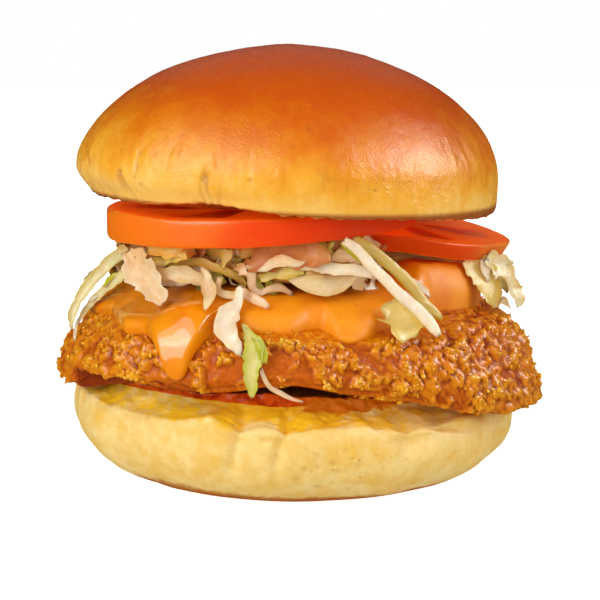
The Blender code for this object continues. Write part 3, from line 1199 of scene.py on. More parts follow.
@dataclass
class Sauce:
    """Thick sauce poured over the fillet, with a long drip at the front left and a dollop at the right.

    The edge's knots are the angle round the axis and the share of the way down the fillet, in hundredths.
    """

    fillet: Fillet
    columns: int = 620
    edge_knots: Knots = (
        (-180, 33), (-172, 34), (-166, 33), (-161, 30), (-154, 28), (-147, 30), (-140, 34),
        (-136, 37), (-130, 36), (-127, 40), (-124, 46), (-122, 50), (-120, 53), (-118.5, 54),
        (-117, 52), (-115.5, 49), (-114.4, 43), (-113.4, 35), (-112.6, 30), (-111, 28), (-108, 27),
        (-104, 29), (-100, 30), (-97, 29), (-95, 30), (-93, 29.5), (-91, 28), (-88, 25),
        (-84, 24.5), (-82, 27), (-80.6, 32), (-79, 35), (-77, 36), (-75, 35), (-71, 32), (-67, 27),
        (-62, 24), (-52, 19), (-38, 16), (-29, 18), (-22, 20.5), (-14, 22), (-5, 23), (6, 25),
        (15, 28), (30, 31), (42, 33), (52, 36), (59, 44), (65, 46), (71, 38), (84, 32), (106, 33),
        (118, 36), (126, 44), (132, 43), (138, 35), (152, 32), (166, 34),
    )

    def edge(self, theta: Array) -> Array:
        """The lower edge.

        Args:
            theta: Angles round the axis.

        Returns:
            Its polar angle at each.
        """
        share = between_knots(theta, self.edge_knots)
        for _ in range(2):
            share = eased(share, -1)
        return share * math.pi / 100.0

    def depth(self, points: Array, theta: Array) -> Array:
        """Thickness of the sauce away from its edge.

        Args:
            points: Places on the fillet.
            theta: Their angles.

        Returns:
            The thickness at each.
        """
        x, y, z = points[..., 0], points[..., 1], points[..., 2]
        reach = np.hypot(x, y)
        depth = 2.0 + 3.8 * smoothstep(50.0, 37.0, reach)
        depth += 4.2 * smoothstep(1.45, 0.75, np.hypot((x - 35.5) / 13.0, (y + 13.5) / 15.0))
        depth += 3.3 * hump(theta, -119.5, 10.0) * bell(reach, 49.0, 5.0) * smoothstep(36.0, 41.0, z)
        depth -= 0.7 * hump(theta, -118.0, 8.0) * smoothstep(39.0, 33.0, z)
        depth -= 1.2 * hump(theta, -84.0, 22.0) * smoothstep(45.0, 50.0, reach)
        return depth + 0.6 * Noise(41).layered(points, 9.0, 2)

    def skin(self) -> Skin:
        """The sauce as a closed skin: its outside, a round lip and its hidden inside.

        Returns:
            The skin, with how wet it is.
        """
        theta = angles(self.columns, 0.4)
        edge = self.edge(theta)
        hidden, shown = np.linspace(0.03, 0.62, 16, endpoint=False), np.linspace(0.62, 1.0, 64)
        share = np.concatenate([hidden, shown])[:, None]
        base = Skin(self.fillet.place(theta, edge * share))
        step = np.linalg.norm(np.diff(base.points, axis=0, append=base.points[-1:]), axis=-1)
        to_edge = np.cumsum(step[::-1], axis=0)[::-1]
        dollop = blob(base.points, (36.0, -12.0, 42.0), (16.0, 18.0, 40.0))
        lip = 2.3 + 0.5 * Noise(42).smooth(base.points, 7.0) + 3.6 * dollop
        lip = lip + 1.4 * hump(theta, -84.0, 18.0)
        rounded = np.sqrt(1.0 - (1.0 - np.clip(to_edge / lip, 0.0, 1.0)) ** 2)
        height = 0.1 + self.depth(base.points, theta) * rounded
        out = base.normals()
        outside = base.points + out * height[..., None]
        for _ in range(3):
            outside = eased(eased(outside, 0, closed=False), 1)
        inside = (base.points - out * 0.9)[::-5]
        skin = Skin(np.concatenate([outside, inside]))
        about = np.degrees(np.arctan2(skin.points[..., 1], skin.points[..., 0]))
        front = smoothstep(-112.0, -106.0, about) * smoothstep(-44.0, -52.0, about)
        skin.values["wet"] = 1.0 - 0.95 * front - 0.95 * smoothstep(-50.0, -40.0, about)
        return skin


# ---------------- the slices


@dataclass
class Slice:
    """A round slice of tomato with a wet side and cut faces."""

    radius: float
    thickness: float
    centre: tuple[float, float]
    lobes: Sequence[Triple]
    seed: int
    corner: float = 0.75
    undercut: float = 0.0
    columns: int = 360
    face_rows: int = 26
    side_rows: int = 30

    def skin(self) -> Skin:
        """The slice as a closed skin.

        Returns:
            The skin, with where it is wet, cut and walled, and where it is painted paler as its lit side.
        """
        half = self.thickness / 2.0
        inner = self.radius - self.corner
        face = np.linspace(0.02, 1.0, self.face_rows, endpoint=False) * inner
        turn = np.linspace(0.0, math.pi, self.side_rows)
        level = np.ones(self.face_rows)
        upright = np.sign(np.cos(turn)) * np.abs(np.cos(turn)) ** (0.35 if self.corner < 1.0 else 0.8)
        side = inner + self.corner * np.abs(np.sin(turn)) ** 0.7 - self.undercut * (1.0 - upright) / 2.0
        radius = np.concatenate([face, side, face[::-1] * (1.0 - self.undercut / inner)])[:, None]
        rise = np.concatenate([level, upright, -level])[:, None]
        height = half * rise
        theta = angles(self.columns)
        lobed = radius * (1.0 + ripple(theta, self.lobes))
        x = self.centre[0] + lobed * np.cos(theta)
        y = self.centre[1] + lobed * np.sin(theta)
        flat = stacked(x, y, height)
        noise = Noise(self.seed)
        share = radius / self.radius + 0.0 * theta
        pockets = 0.5 + 0.5 * np.cos(6.0 * theta + 1.3 * noise.smooth(flat * (1.0, 1.0, 0.0), 16.0))
        pocket = smoothstep(0.35, 0.75, pockets) * smoothstep(0.22, 0.34, share)
        pocket = pocket * smoothstep(0.86, 0.76, share)
        height = height * (1.0 - 0.16 * pocket) + 0.22 * noise.layered(flat, 12.0, 2)
        skin = Skin(stacked(x, y, self.level(x, y, height / half) + height))
        skin.swell(0.05 * noise.layered(skin.points, 2.4, 2))
        flatness = smoothstep(0.80, 0.97, np.abs(height) / half)
        skin.values["wet"] = bell(rise + 0.0 * theta, 0.90, 0.14) * smoothstep(0.97, 0.99, share)
        skin.values["cut"] = flatness * smoothstep(1.0, inner / self.radius, share)
        skin.values["wall"] = 1.0 - pocket
        skin.values["lit"] = self.lit(skin.points)
        return skin

    def level(self, x: Array, y: Array, rise: Array) -> Array:
        """How high the slice lies.

        Args:
            x: Places along X.
            y: Places along Y.
            rise: 1 on top of the slice and -1 below it.

        Returns:
            Height of its bent middle plane at each.
        """
        raise NotImplementedError

    def lit(self, points: Array) -> Array:
        """Where the skin is painted paler: painted light on its lit left end."""
        return smoothstep(10.0, -44.0, points[..., 0])


@dataclass
class FrontSlice(Slice):
    """The large slice in front, flat and leaning."""

    radius: float = 37.2
    thickness: float = 4.9
    centre: tuple[float, float] = (-9.2, -9.5)
    lobes: Sequence[Triple] = ((0.008, 5, 0.7), (0.006, 3, 1.9))
    seed: int = 51

    def level(self, x: Array, y: Array, rise: Array) -> Array:
        """How high the slice lies, raised at its left end and sunk into the lettuce.

        Args:
            x: Places along X.
            y: Places along Y.
            rise: 1 on top of the slice and -1 below it.

        Returns:
            Height of its bent middle plane at each.
        """
        raised = 1.1 * smoothstep(-26.0, -46.0, x) * (1.0 + rise) / 2.0
        sunk = 0.3 + 1.0 * smoothstep(24.0, -24.0, x) * smoothstep(10.0, -10.0, y)
        return slice_plane(x) + self.thickness / 2.0 + raised - sunk * (1.0 - rise) / 2.0


@dataclass
class SideSlice(Slice):
    """The smaller slice under the front one, whose outer half droops."""

    radius: float = 30.5
    thickness: float = 4.2
    corner: float = 0.9
    undercut: float = 2.2
    centre: tuple[float, float] = (21.8, 5.0)
    lobes: Sequence[Triple] = ((0.010, 4, 0.2), (0.008, 7, 1.0))
    seed: int = 52

    def level(self, x: Array, y: Array, rise: Array) -> Array:
        """How high the slice lies, the same over and under its middle: its outer half droops and tilts."""
        tilt = 0.035 * (y - 5.0) * smoothstep(20.0, 44.0, x) + 0.0 * rise
        return SLICE_LEVEL - GAP - slice_droop(x) - self.thickness / 2.0 + tilt

    def lit(self, points: Array) -> Array:
        """Where the skin is painted paler: painted light on its lit right end."""
        return smoothstep(34.0, 54.0, points[..., 0])


# ---------------- the bun


@dataclass
class Crown:
    """The bun's glazed crown."""

    radius: float = 51.4
    centre: float = -3.7
    top: float = 105.2
    waist: float = 76.4
    rim: float = 67.8
    slope: float = 0.042
    power: float = 1.8
    columns: int = 440

    def profile(self) -> tuple[Array, Array]:
        """The plain form.

        Returns:
            Radius and height of the rows, from the top middle to the underside's middle.
        """
        angle = np.linspace(0.02, math.pi / 2.0, 104)
        share = 2.0 / self.power
        dome_radius = self.radius * np.sin(angle) ** share
        dome_height = self.waist + (self.top - self.waist) * np.cos(angle) ** share
        down = np.linspace(0.04, 1.0, 30)
        side_radius = self.radius - 1.1 * (1.0 - np.sqrt(np.maximum(0.0, 1.0 - down**9)))
        side_height = self.waist + (self.rim - self.waist) * down
        under = np.concatenate([np.linspace(0.97, 0.80, 12), np.linspace(0.74, 0.05, 12)])
        radius = np.concatenate([dome_radius, side_radius, self.radius * under])
        height = np.concatenate([dome_height, side_height, np.full(len(under), self.rim)])
        return radius[:, None], height[:, None]

    def skin(self) -> Skin:
        """The crown as a fine closed skin.

        Returns:
            The skin, with its height and where its pits and edges are.
        """
        theta = angles(self.columns, 0.35)
        radius, height = self.profile()
        low = smoothstep(self.waist, self.rim, height)
        tuck = (1.5 - 2.3 * np.cos(theta)).clip(0.1) * low**1.6
        folds = ripple(theta, ((0.45, 2, 1.3), (0.35, 5, 0.2), (0.25, 9, 1.0)))
        flank = (0.7 + 0.6 * hump(theta, 180.0, 50.0)) * bell(height, 86.0, 9.0)
        wide = radius + (folds - tuck - flank) * (radius / self.radius) ** 2
        x = self.centre + wide * np.cos(theta)
        under = (height <= self.rim + 0.01) & (radius < self.radius * 0.975)
        fall = np.clip(self.top - height, 0.0, None) / (self.top - self.rim)
        lean = np.where(under, self.slope * x, self.slope * x * fall**1.5)
        inner = smoothstep(42.0, 27.0, radius)
        rim = self.rim - self.slope * x
        slice_top = slice_plane(x) + FrontSlice.thickness + GAP
        ragged = Noise(69).layered(stacked(theta * 50.0, 0.0, 0.0), 3.2, 3)
        lift = 1.7 * hump(theta, -110.0, 16.0) * low**2 + 0.45 * ragged * low**8
        lift = lift - 1.5 * hump(theta, -14.0, 30.0) * low**2
        z = np.where(under, rim + lift * (1.0 - inner) + (slice_top - rim) * inner, height - lean + lift)
        skin = Skin(stacked(x, wide * np.sin(theta), z))
        relief, pit = self.relief(skin.points, theta, under)
        skin.swell(relief)
        share = (skin.points[..., 2] + self.slope * x - self.rim) / (self.top - self.rim)
        share = np.clip(share, 0.0, 1.0)
        skin.values["height"] = share - 0.12 * smoothstep(4.0, -36.0, x) * smoothstep(1.0, 0.55, share)
        skin.values["pit"] = pit
        skin.values["edge"] = np.where(under, 0.12, 0.9 * smoothstep(0.045, 0.008, share))
        return skin

    def relief(self, points: Array, theta: Array, under: Array) -> tuple[Array, Array]:
        """Height of dents, wrinkles, creases and pits.

        Args:
            points: Places on the plain form.
            theta: Their angles.
            under: True on the cut face.

        Returns:
            Height in millimetres, and a share that is 1 in pits and creases.
        """
        noise = Noise(61)
        z = points[..., 2]
        height = 0.42 * noise.layered(points, 24.0, 2) + 0.10 * Noise(68).layered(points, 5.0, 2)
        upright = stacked(theta * 50.0, 0.0, z * 0.28)
        low = smoothstep(88.0, 76.0, z)
        height += 0.26 * low * noise.layered(upright, 3.4, 3)
        crack = 1.0 - np.abs(Noise(62).layered(upright, 5.0, 2))
        place = smoothstep(-0.1, 0.35, Noise(63).smooth(points, 11.0)) * smoothstep(86.0, 78.0, z)
        crease = np.clip(crack, 0.0, 1.0) ** 14 * place * (0.3 + 1.2 * hump(theta, -125.0, 40.0))
        height -= 0.70 * crease
        near, _, luck = Noise(64).cells(points, 4.0)
        pit = bell(near, 0.0, 0.11) * (luck < 0.35)
        height -= 0.22 * pit
        height += 0.14 * bell(near, 0.0, 0.15) * (luck > 0.70)
        height += (0.045 + 0.03 * low) * Noise(65).layered(points, 1.1, 2)
        wrinkled = smoothstep(42.0, 47.5, points[..., 0]) * smoothstep(80.0, 74.0, z)
        height += 0.30 * wrinkled * Noise(66).layered(upright * (1.0, 1.0, 0.6), 2.2, 3)
        crumb = 0.35 * Noise(67).layered(points, 2.4, 3)
        return np.where(under, crumb, height), np.clip(pit + crease, 0.0, 1.0)


@dataclass
class Heel:
    """The bun's soft heel, with a pressed ledge and a toasted rim.

    A crease is its angle, half width and depth. A knot of the ledge is an angle and how much higher it
    lies there.
    """

    radius: float = 54.4
    foot: float = 30.0
    waist: float = 15.8
    rim: float = 44.6
    ledge: float = 52.2
    drop: float = 4.0
    lip: float = 1.0
    step: float = 1.5
    centre: float = -2.0
    columns: int = 460
    creases: tuple[Triple, ...] = (
        (-104.0, 1.5, 1.7), (-92.5, 1.2, 1.3), (-128.0, 1.6, 0.5), (-61.0, 1.6, 0.9), (75.0, 1.8, 1.0),
    )
    ledge_knots: Knots = (
        (-180, 0.2), (-150, 0.3), (-134, -0.7), (-126, -0.6), (-117, 0.5), (-110, 1.5),
        (-106, -0.4), (-95, -0.6), (-80, 0.2), (-71, 0.6), (-60, -0.5), (-44, 0.4), (-20, -0.3),
        (30, 0.4), (80, -0.3), (130, 0.5),
    )

    def profile(self) -> tuple[Array, Array]:
        """The plain form.

        Returns:
            Radius and height of the rows, from the middle of the cut face to the middle of the foot.
        """
        cut = np.concatenate([np.linspace(0.03, 0.88, 10), np.linspace(0.90, 1.0, 14)]) * self.rim
        cut_height = CUT_HEIGHT + self.lip * smoothstep(self.rim - 5.0, self.rim - 1.0, cut)
        turn = np.linspace(0.0, 1.0, 30)[1:]
        ledge = self.rim + (self.ledge - self.rim) * turn**1.5
        fall = self.step * smoothstep(0.0, 0.2, turn)
        ledge_height = CUT_HEIGHT + self.lip - fall - (self.lip + self.drop - self.step) * turn**1.2
        top = ledge_height[-1]
        swell = np.linspace(0.0, math.pi / 2.0, 34)[1:]
        bulge = ledge[-1] + (self.radius - ledge[-1]) * np.sin(swell) ** 0.9
        bulge_height = self.waist + (top + 0.2 - self.waist) * np.cos(swell) ** 0.9
        down = np.linspace(math.pi / 2.0, 0.0, 52)[1:]
        base = self.foot + (self.radius - self.foot) * np.sin(down)
        base_height = self.waist * (1.0 - np.cos(down))
        under = np.linspace(self.foot * 0.94, 1.0, 8)
        parts = (ledge, ledge_height), (bulge, bulge_height), (base, base_height)
        outside = np.concatenate(parts, axis=1)
        for _ in range(24):
            outside = eased(outside, 1, closed=False)
        radius = np.concatenate([cut, outside[0], under])
        height = np.concatenate([cut_height, outside[1], 0.0 * under])
        return radius[:, None], height[:, None]

    def skin(self) -> Skin:
        """The heel as a fine closed skin.

        Returns:
            The skin, with where it is toasted, buttery, browned, pored and torn.
        """
        theta = angles(self.columns)
        radius, height = self.profile()
        side = smoothstep(self.foot, self.radius, radius)
        folds = ripple(theta, ((0.5, 3, 1.0), (0.35, 7, 0.2), (0.30, 13, 2.0)))
        lipped = smoothstep(self.rim - 6.0, self.rim, radius) * smoothstep(21.3, 24.5, height)
        wide = radius + side * folds + 3.0 * hump(theta, -142.0, 17.0) * lipped
        x = wide * np.cos(theta) + self.centre * smoothstep(0.0, self.waist, height)
        y = wide * np.sin(theta)
        near = bell(height, 21.0, 2.2) * smoothstep(self.rim + 1.0, self.rim + 4.0, radius)
        z = height - CUT_SLOPE * x * smoothstep(2.0, CUT_HEIGHT, height)
        z = z + between_knots(theta, self.ledge_knots) * near + 1.0 * hump(theta, -95.0, 14.0) * lipped
        skin = Skin(stacked(x, y, z))
        plain = skin.points.copy()
        outer = smoothstep(self.rim - 6.0, self.rim, radius) * smoothstep(0.4, 3.0, height)
        skin.swell(self.relief(plain, theta, height + 0.0 * theta) * outer)
        low = plain[..., 2]
        above = low + CUT_SLOPE * plain[..., 0]
        flank = radius + 0.0 * theta
        torn = 1.1 * hump(theta, -74.0, 15.0) * smoothstep(self.rim - 3.0, self.rim, flank)
        toast = smoothstep(self.rim - 9.0, self.rim - 5.0, flank) * smoothstep(24.6, 25.2, above)
        ledge = smoothstep(self.ledge + 2.4, self.ledge - 0.4, flank) * smoothstep(18.6, 22.4, above)
        skin.values["toast"] = toast * (1.0 - 0.55 * torn).clip(0.0, 1.0)
        skin.values["ledge"] = ledge * (1.0 - 0.55 * hump(theta, -48.0, 22.0))
        skin.values["base"] = smoothstep(5.8 + 4.0 * hump(theta, -128.0, 18.0), 1.8, low)
        skin.values["pores"] = hump(theta, -74.0, 13.0) * bell(low, 13.0, 3.6)
        skin.values["torn"] = torn * smoothstep(23.0, 24.6, above)
        return skin

    def relief(self, points: Array, theta: Array, height: Array) -> Array:
        """Lobes, creases, pores and torn crumb.

        Args:
            points: Places on the plain form.
            theta: Their angles.
            height: Their heights before the tilt.

        Returns:
            Height of the relief in millimetres.
        """
        noise = Noise(71)
        upright = stacked(theta * 52.0, 0.0, height * 0.35)
        bulging = smoothstep(4.0, 12.0, height) * smoothstep(24.0, 20.0, height)
        relief = 0.45 * noise.layered(points, 20.0, 2) + 0.12 * noise.layered(points, 4.0, 3)
        relief += 0.34 * bulging * noise.layered(upright, 7.0, 3)
        tall = smoothstep(8.0, 15.0, height)
        for angle, width, depth in self.creases:
            bend = angle + 1.4 * np.sin(height / 4.0 + angle)
            crease = depth * hump(theta - np.radians(bend), 0.0, width)
            relief -= crease * tall * smoothstep(25.0, 21.0, height)
        fold = bell(height + 0.25 * (points[..., 0] - 36.0), 19.5, 0.8) * hump(theta, -48.0, 8.0)
        relief -= 1.1 * fold + 1.5 * hump(theta, -59.0, 7.0) * bell(height, 18.5, 3.2)
        near, _, luck = Noise(72).cells(points, 2.3)
        pored = noise.smooth(points, 16.0) + 0.55 * hump(theta, -82.0, 14.0)
        pores = smoothstep(0.05, 0.35, pored) * (luck < 0.55)
        relief -= 0.80 * pores * bell(near, 0.0, 0.22) * smoothstep(3.0, 7.0, height)
        rough = 0.75 * Noise(73).layered(points, 4.2, 3) + 0.25 * np.abs(Noise(75).layered(points, 1.6, 2))
        relief += smoothstep(20.8, 22.0, height) * rough
        puffed = smoothstep(19.0, 21.0, height) * smoothstep(24.0, 21.8, height)
        puffs = Noise(76).layered(upright, 8.0, 2) + 0.6 * hump(theta, -98.0, 8.0)
        relief += 1.6 * puffed * np.clip(puffs, -0.3, 1.0)
        torn = hump(theta, -73.0, 12.0) * smoothstep(22.0, 24.5, height)
        relief += 0.9 * torn * Noise(74).layered(points, 1.6, 3)
        return relief + 0.02 * noise.layered(points, 1.2, 2)


# ---------------- the lettuce


class Leaf(Enum):
    """Tints of a shred: along its middle and along its edges."""

    WHITE = (rgb(238, 226, 204), rgb(232, 210, 174))
    CREAM = (rgb(236, 218, 176), rgb(228, 200, 138))
    BEIGE = (rgb(230, 204, 158), rgb(220, 186, 124))
    YELLOW = (rgb(234, 212, 132), rgb(222, 190, 84))
    STRAW = (rgb(214, 188, 100), rgb(196, 168, 52))
    GREEN = (rgb(214, 206, 124), rgb(184, 190, 50))
    LIME = (rgb(184, 184, 36), rgb(170, 178, 14))
    # ROSE's pink is painted reflected light: the reddish light the tomato throws onto the leaf.
    ROSE = (rgb(232, 202, 168), rgb(222, 180, 132))
    PEACH = (rgb(230, 194, 148), rgb(236, 208, 170))
    SHADE = (rgb(204, 136, 76), rgb(172, 98, 34))
    PALE = (rgb(228, 218, 172), rgb(216, 200, 130))


def doubled(values: Array) -> Array:
    """Values of a shred's upper side, then the same in reverse for its lower side, as a column each."""
    return np.concatenate([values, values[:, ::-1]], axis=1)[..., None]


@dataclass(frozen=True)
class Cut:
    """How a shred is cut and crumpled."""

    leaf: Leaf = Leaf.CREAM
    thickness: float = 0.2
    cup: float = 0.2
    frill: float = 0.35
    ragged: float = 0.25
    twist: float = 0.0
    seed: int = 0
    torn: float = 1.8

    def add_to(self, shell: Shell, line: Array, width: Array, facing: Array) -> None:
        """Adds a ribbon of leaf along a line.

        Args:
            shell: The shell that grows.
            line: Evenly spaced places along its middle, (n, 3).
            width: Its width at each.
            facing: The way its broad face looks, (3) or (n, 3).
        """
        noise = Noise(100 + self.seed)
        along = np.linspace(0.0, 1.0, len(line))[:, None]
        length = np.linalg.norm(np.diff(line, axis=0), axis=1).sum()
        tangent = unit(np.gradient(line, axis=0))
        side = unit(np.cross(tangent, facing + 0.0 * line))
        face = unit(np.cross(side, tangent))
        turn = self.twist * math.tau * along
        side, face = side * np.cos(turn) + face * np.sin(turn), face * np.cos(turn) - side * np.sin(turn)
        across = np.sin(np.linspace(-math.pi / 2.0, math.pi / 2.0, 13))[None, :]
        rim = np.abs(across)
        at = stacked(along * length, width[:, None] / 2.0 * across, 0.0)
        edges = stacked(along * length, 40.0 * np.sign(across), 0.0)
        nicks = self.ragged * 2.0 * noise.layered(edges, 2.6, 3, 0.6) * rim
        half = width[:, None] / 2.0 * (1.0 + nicks)
        wave = (np.abs(noise.smooth(at + 9.0, 3.4)) * 2.0 + 0.8 * noise.smooth(at, 1.3)) * rim**1.3
        lift = self.cup * half * across**2 + self.frill * wave + 0.20 * noise.layered(at, 2.0, 2)
        centre = line[:, None] + side[:, None] * (half * across)[..., None]
        centre = centre + face[:, None] * lift[..., None]
        tail = np.clip(1.0 - (1.0 - along) * length / self.torn, 0.0, 1.0)
        head = np.clip(1.0 - along * length / self.torn, 0.0, 1.0)
        torn = noise.layered(stacked(3.0 * across, 5.0, 0.0), 1.6, 2) * 1.1
        centre = centre + tangent[:, None] * ((tail - head) * torn)[..., None]
        rounded = np.sqrt(np.clip(1.0 - 0.98 * across**2, 0.0, 1.0))
        thick = self.thickness / 2.0 * (0.30 + 0.70 * rounded) + 0.0 * along
        upper = centre + face[:, None] * thick[..., None]
        lower = centre - face[:, None] * thick[..., None]
        ring = np.concatenate([upper, lower[:, ::-1]], axis=1)
        rows, columns, _ = ring.shape
        caps = np.stack([ring[0].mean(axis=0), ring[-1].mean(axis=0)])
        streak = noise.smooth(stacked(0.2 * along * length, 2.4 * half * across, 7.0), 1.0)
        tint = self.tint(centre, ring, doubled(rim + 0.0 * along), doubled(streak), noise)
        tints = np.concatenate([tint.reshape(-1, 4), tint[[0, -1], 0]])
        shell.add(np.concatenate([ring.reshape(-1, 3), caps]), round_faces(rows, columns), {"tint": tints})

    def tint(self, centre: Array, ring: Array, rim: Array, streak: Array, noise: Noise) -> Array:
        """Colours of the shred, with painted shade: darker and warmer where it lies under the slices.

        Args:
            centre: Places along its middle sheet.
            ring: Places round it.
            rim: How near each is to an edge.
            streak: Fine streaks along it.
            noise: Its noise.

        Returns:
            A colour for each place of the ring.
        """
        blotch = noise.layered(ring, 3.6, 2)[..., None]
        share = np.clip(smoothstep(0.2, 1.0, rim) + 0.7 * blotch, 0.0, 1.0)
        middle, edge = (np.array(colour) for colour in self.leaf.value)
        tint = middle + (edge - middle) * share
        # Painted shade under the slices: the green and blue are turned down there.
        inland = smoothstep(38.0, 34.0, np.hypot(centre[..., 0] + 9.0, centre[..., 1] + 9.5))
        covered = doubled(smoothstep(53.0, 59.0, centre[..., 2]) * inland)
        tint[..., :3] *= 1.0 - covered * np.array((0.0, 0.14, 0.42))
        tint[..., :3] *= 1.0 + 0.14 * blotch + 0.12 * streak
        return tint


def flowing(knots: Array, pitch: float = 0.6) -> Array:
    """A smooth line through knots, with evenly spaced points.

    Args:
        knots: The knots, (n, k), of which the first columns are a place.
        pitch: Distance between the points.

    Returns:
        The points, (m, k).
    """
    knots = np.concatenate([[2.0 * knots[0] - knots[1]], knots, [2.0 * knots[-1] - knots[-2]]])
    t = np.linspace(0.0, 1.0, 24, endpoint=False)[:, None]
    pieces = []
    for before, here, after, last in zip(knots, knots[1:], knots[2:], knots[3:]):
        bend = (2.0 * before - 5.0 * here + 4.0 * after - last) * t**2
        turn = (3.0 * here - before - 3.0 * after + last) * t**3
        pieces.append(0.5 * (2.0 * here + (after - before) * t + bend + turn))
    dense = np.concatenate([*pieces, knots[-2:-1]])
    along = np.concatenate([[0.0], np.cumsum(np.linalg.norm(np.diff(dense[:, :2], axis=0), axis=1))])
    even = np.linspace(0.0, along[-1], max(10, int(along[-1] / pitch)))
    return np.stack([np.interp(even, along, column) for column in dense.T], axis=-1)


@dataclass
class Ground:
    """What the shreds lie on, found by looking along a line from far off."""

    trees: list[BVHTree] = field(default_factory=list)
    far: float = 90.0
    fallback: float = -14.0

    def add(self, piece: bpy.types.Object) -> None:
        """Adds a piece to what lies there."""
        self.trees.append(BVHTree.FromObject(piece, bpy.context.evaluated_depsgraph_get()))

    def first(self, start: Triple, way: Triple) -> float | None:
        """Distance from a start to the first thing on the way, in millimetres."""
        hits = [tree.ray_cast(Vector(start) * MM, Vector(way))[3] for tree in self.trees]
        return min((hit / MM for hit in hits if hit is not None), default=None)

    def floor(self, x: float, y: float) -> float:
        """Height of what lies under x, y."""
        fall = self.first((x, y, self.far), (0.0, 0.0, -1.0))
        return 0.0 if fall is None else self.far - fall

    def front(self, x: float, z: float) -> float:
        """How far forward the things behind a place come.

        Args:
            x: The place along X.
            z: Its height.

        Returns:
            Their Y there, or that of the nearest of them.
        """
        depth = self.first((x, -self.far, z), (0.0, 1.0, 0.0))
        if depth is not None and depth < self.far:
            return depth - self.far
        near = [tree.find_nearest(Vector((x, self.fallback, z)) * MM) for tree in self.trees]
        return min(near, key=lambda hit: hit[3])[0].y / MM


@dataclass(frozen=True)
class Shred:
    """A shred on the front of the filling: its x, height and width at each knot.

    It lies on what is behind it, or bridges it at a depth of its own.
    """

    path: tuple[Triple, ...]
    cut: Cut
    lift: float = 0.45
    depth: tuple[float, float] | None = None

    def add_to(self, shell: Shell, ground: Ground, seed: int) -> None:
        """Lays the shred on the ground.

        Args:
            shell: The shell that grows.
            ground: What it lies on.
            seed: Seed of its crumpling.
        """
        knots = flowing(np.array(self.path))
        slope = unit(np.gradient(knots[:, :2], axis=0))
        reach = 0.3 * knots[:, 2]
        depth = np.full(len(knots), ground.far)
        for side in (-1.0, 0.0, 1.0):
            x, z = knots[:, 0] - side * reach * slope[:, 1], knots[:, 1] + side * reach * slope[:, 0]
            depth = np.minimum(depth, [ground.front(*place) for place in zip(x, z)])
        if self.depth is not None:
            depth = np.minimum(depth, np.linspace(*self.depth, len(knots)))
        padded = np.pad(depth, 2, mode="edge")
        depth = np.min([padded[i : i + len(depth)] for i in range(5)], axis=0)
        for _ in range(6):
            padded = np.pad(depth, 1, mode="edge")
            before, after = padded[:-2], padded[2:]
            kept = np.minimum(depth, (before + after) / 2.0)
            depth = kept * 0.5 + (before + 2.0 * depth + after) / 8.0
        line = stacked(knots[:, 0], depth - self.lift, knots[:, 1])
        facing = stacked(0.012 * knots[:, 0], -1.0, 0.25)
        replace(self.cut, seed=seed).add_to(shell, line, knots[:, 2], facing)


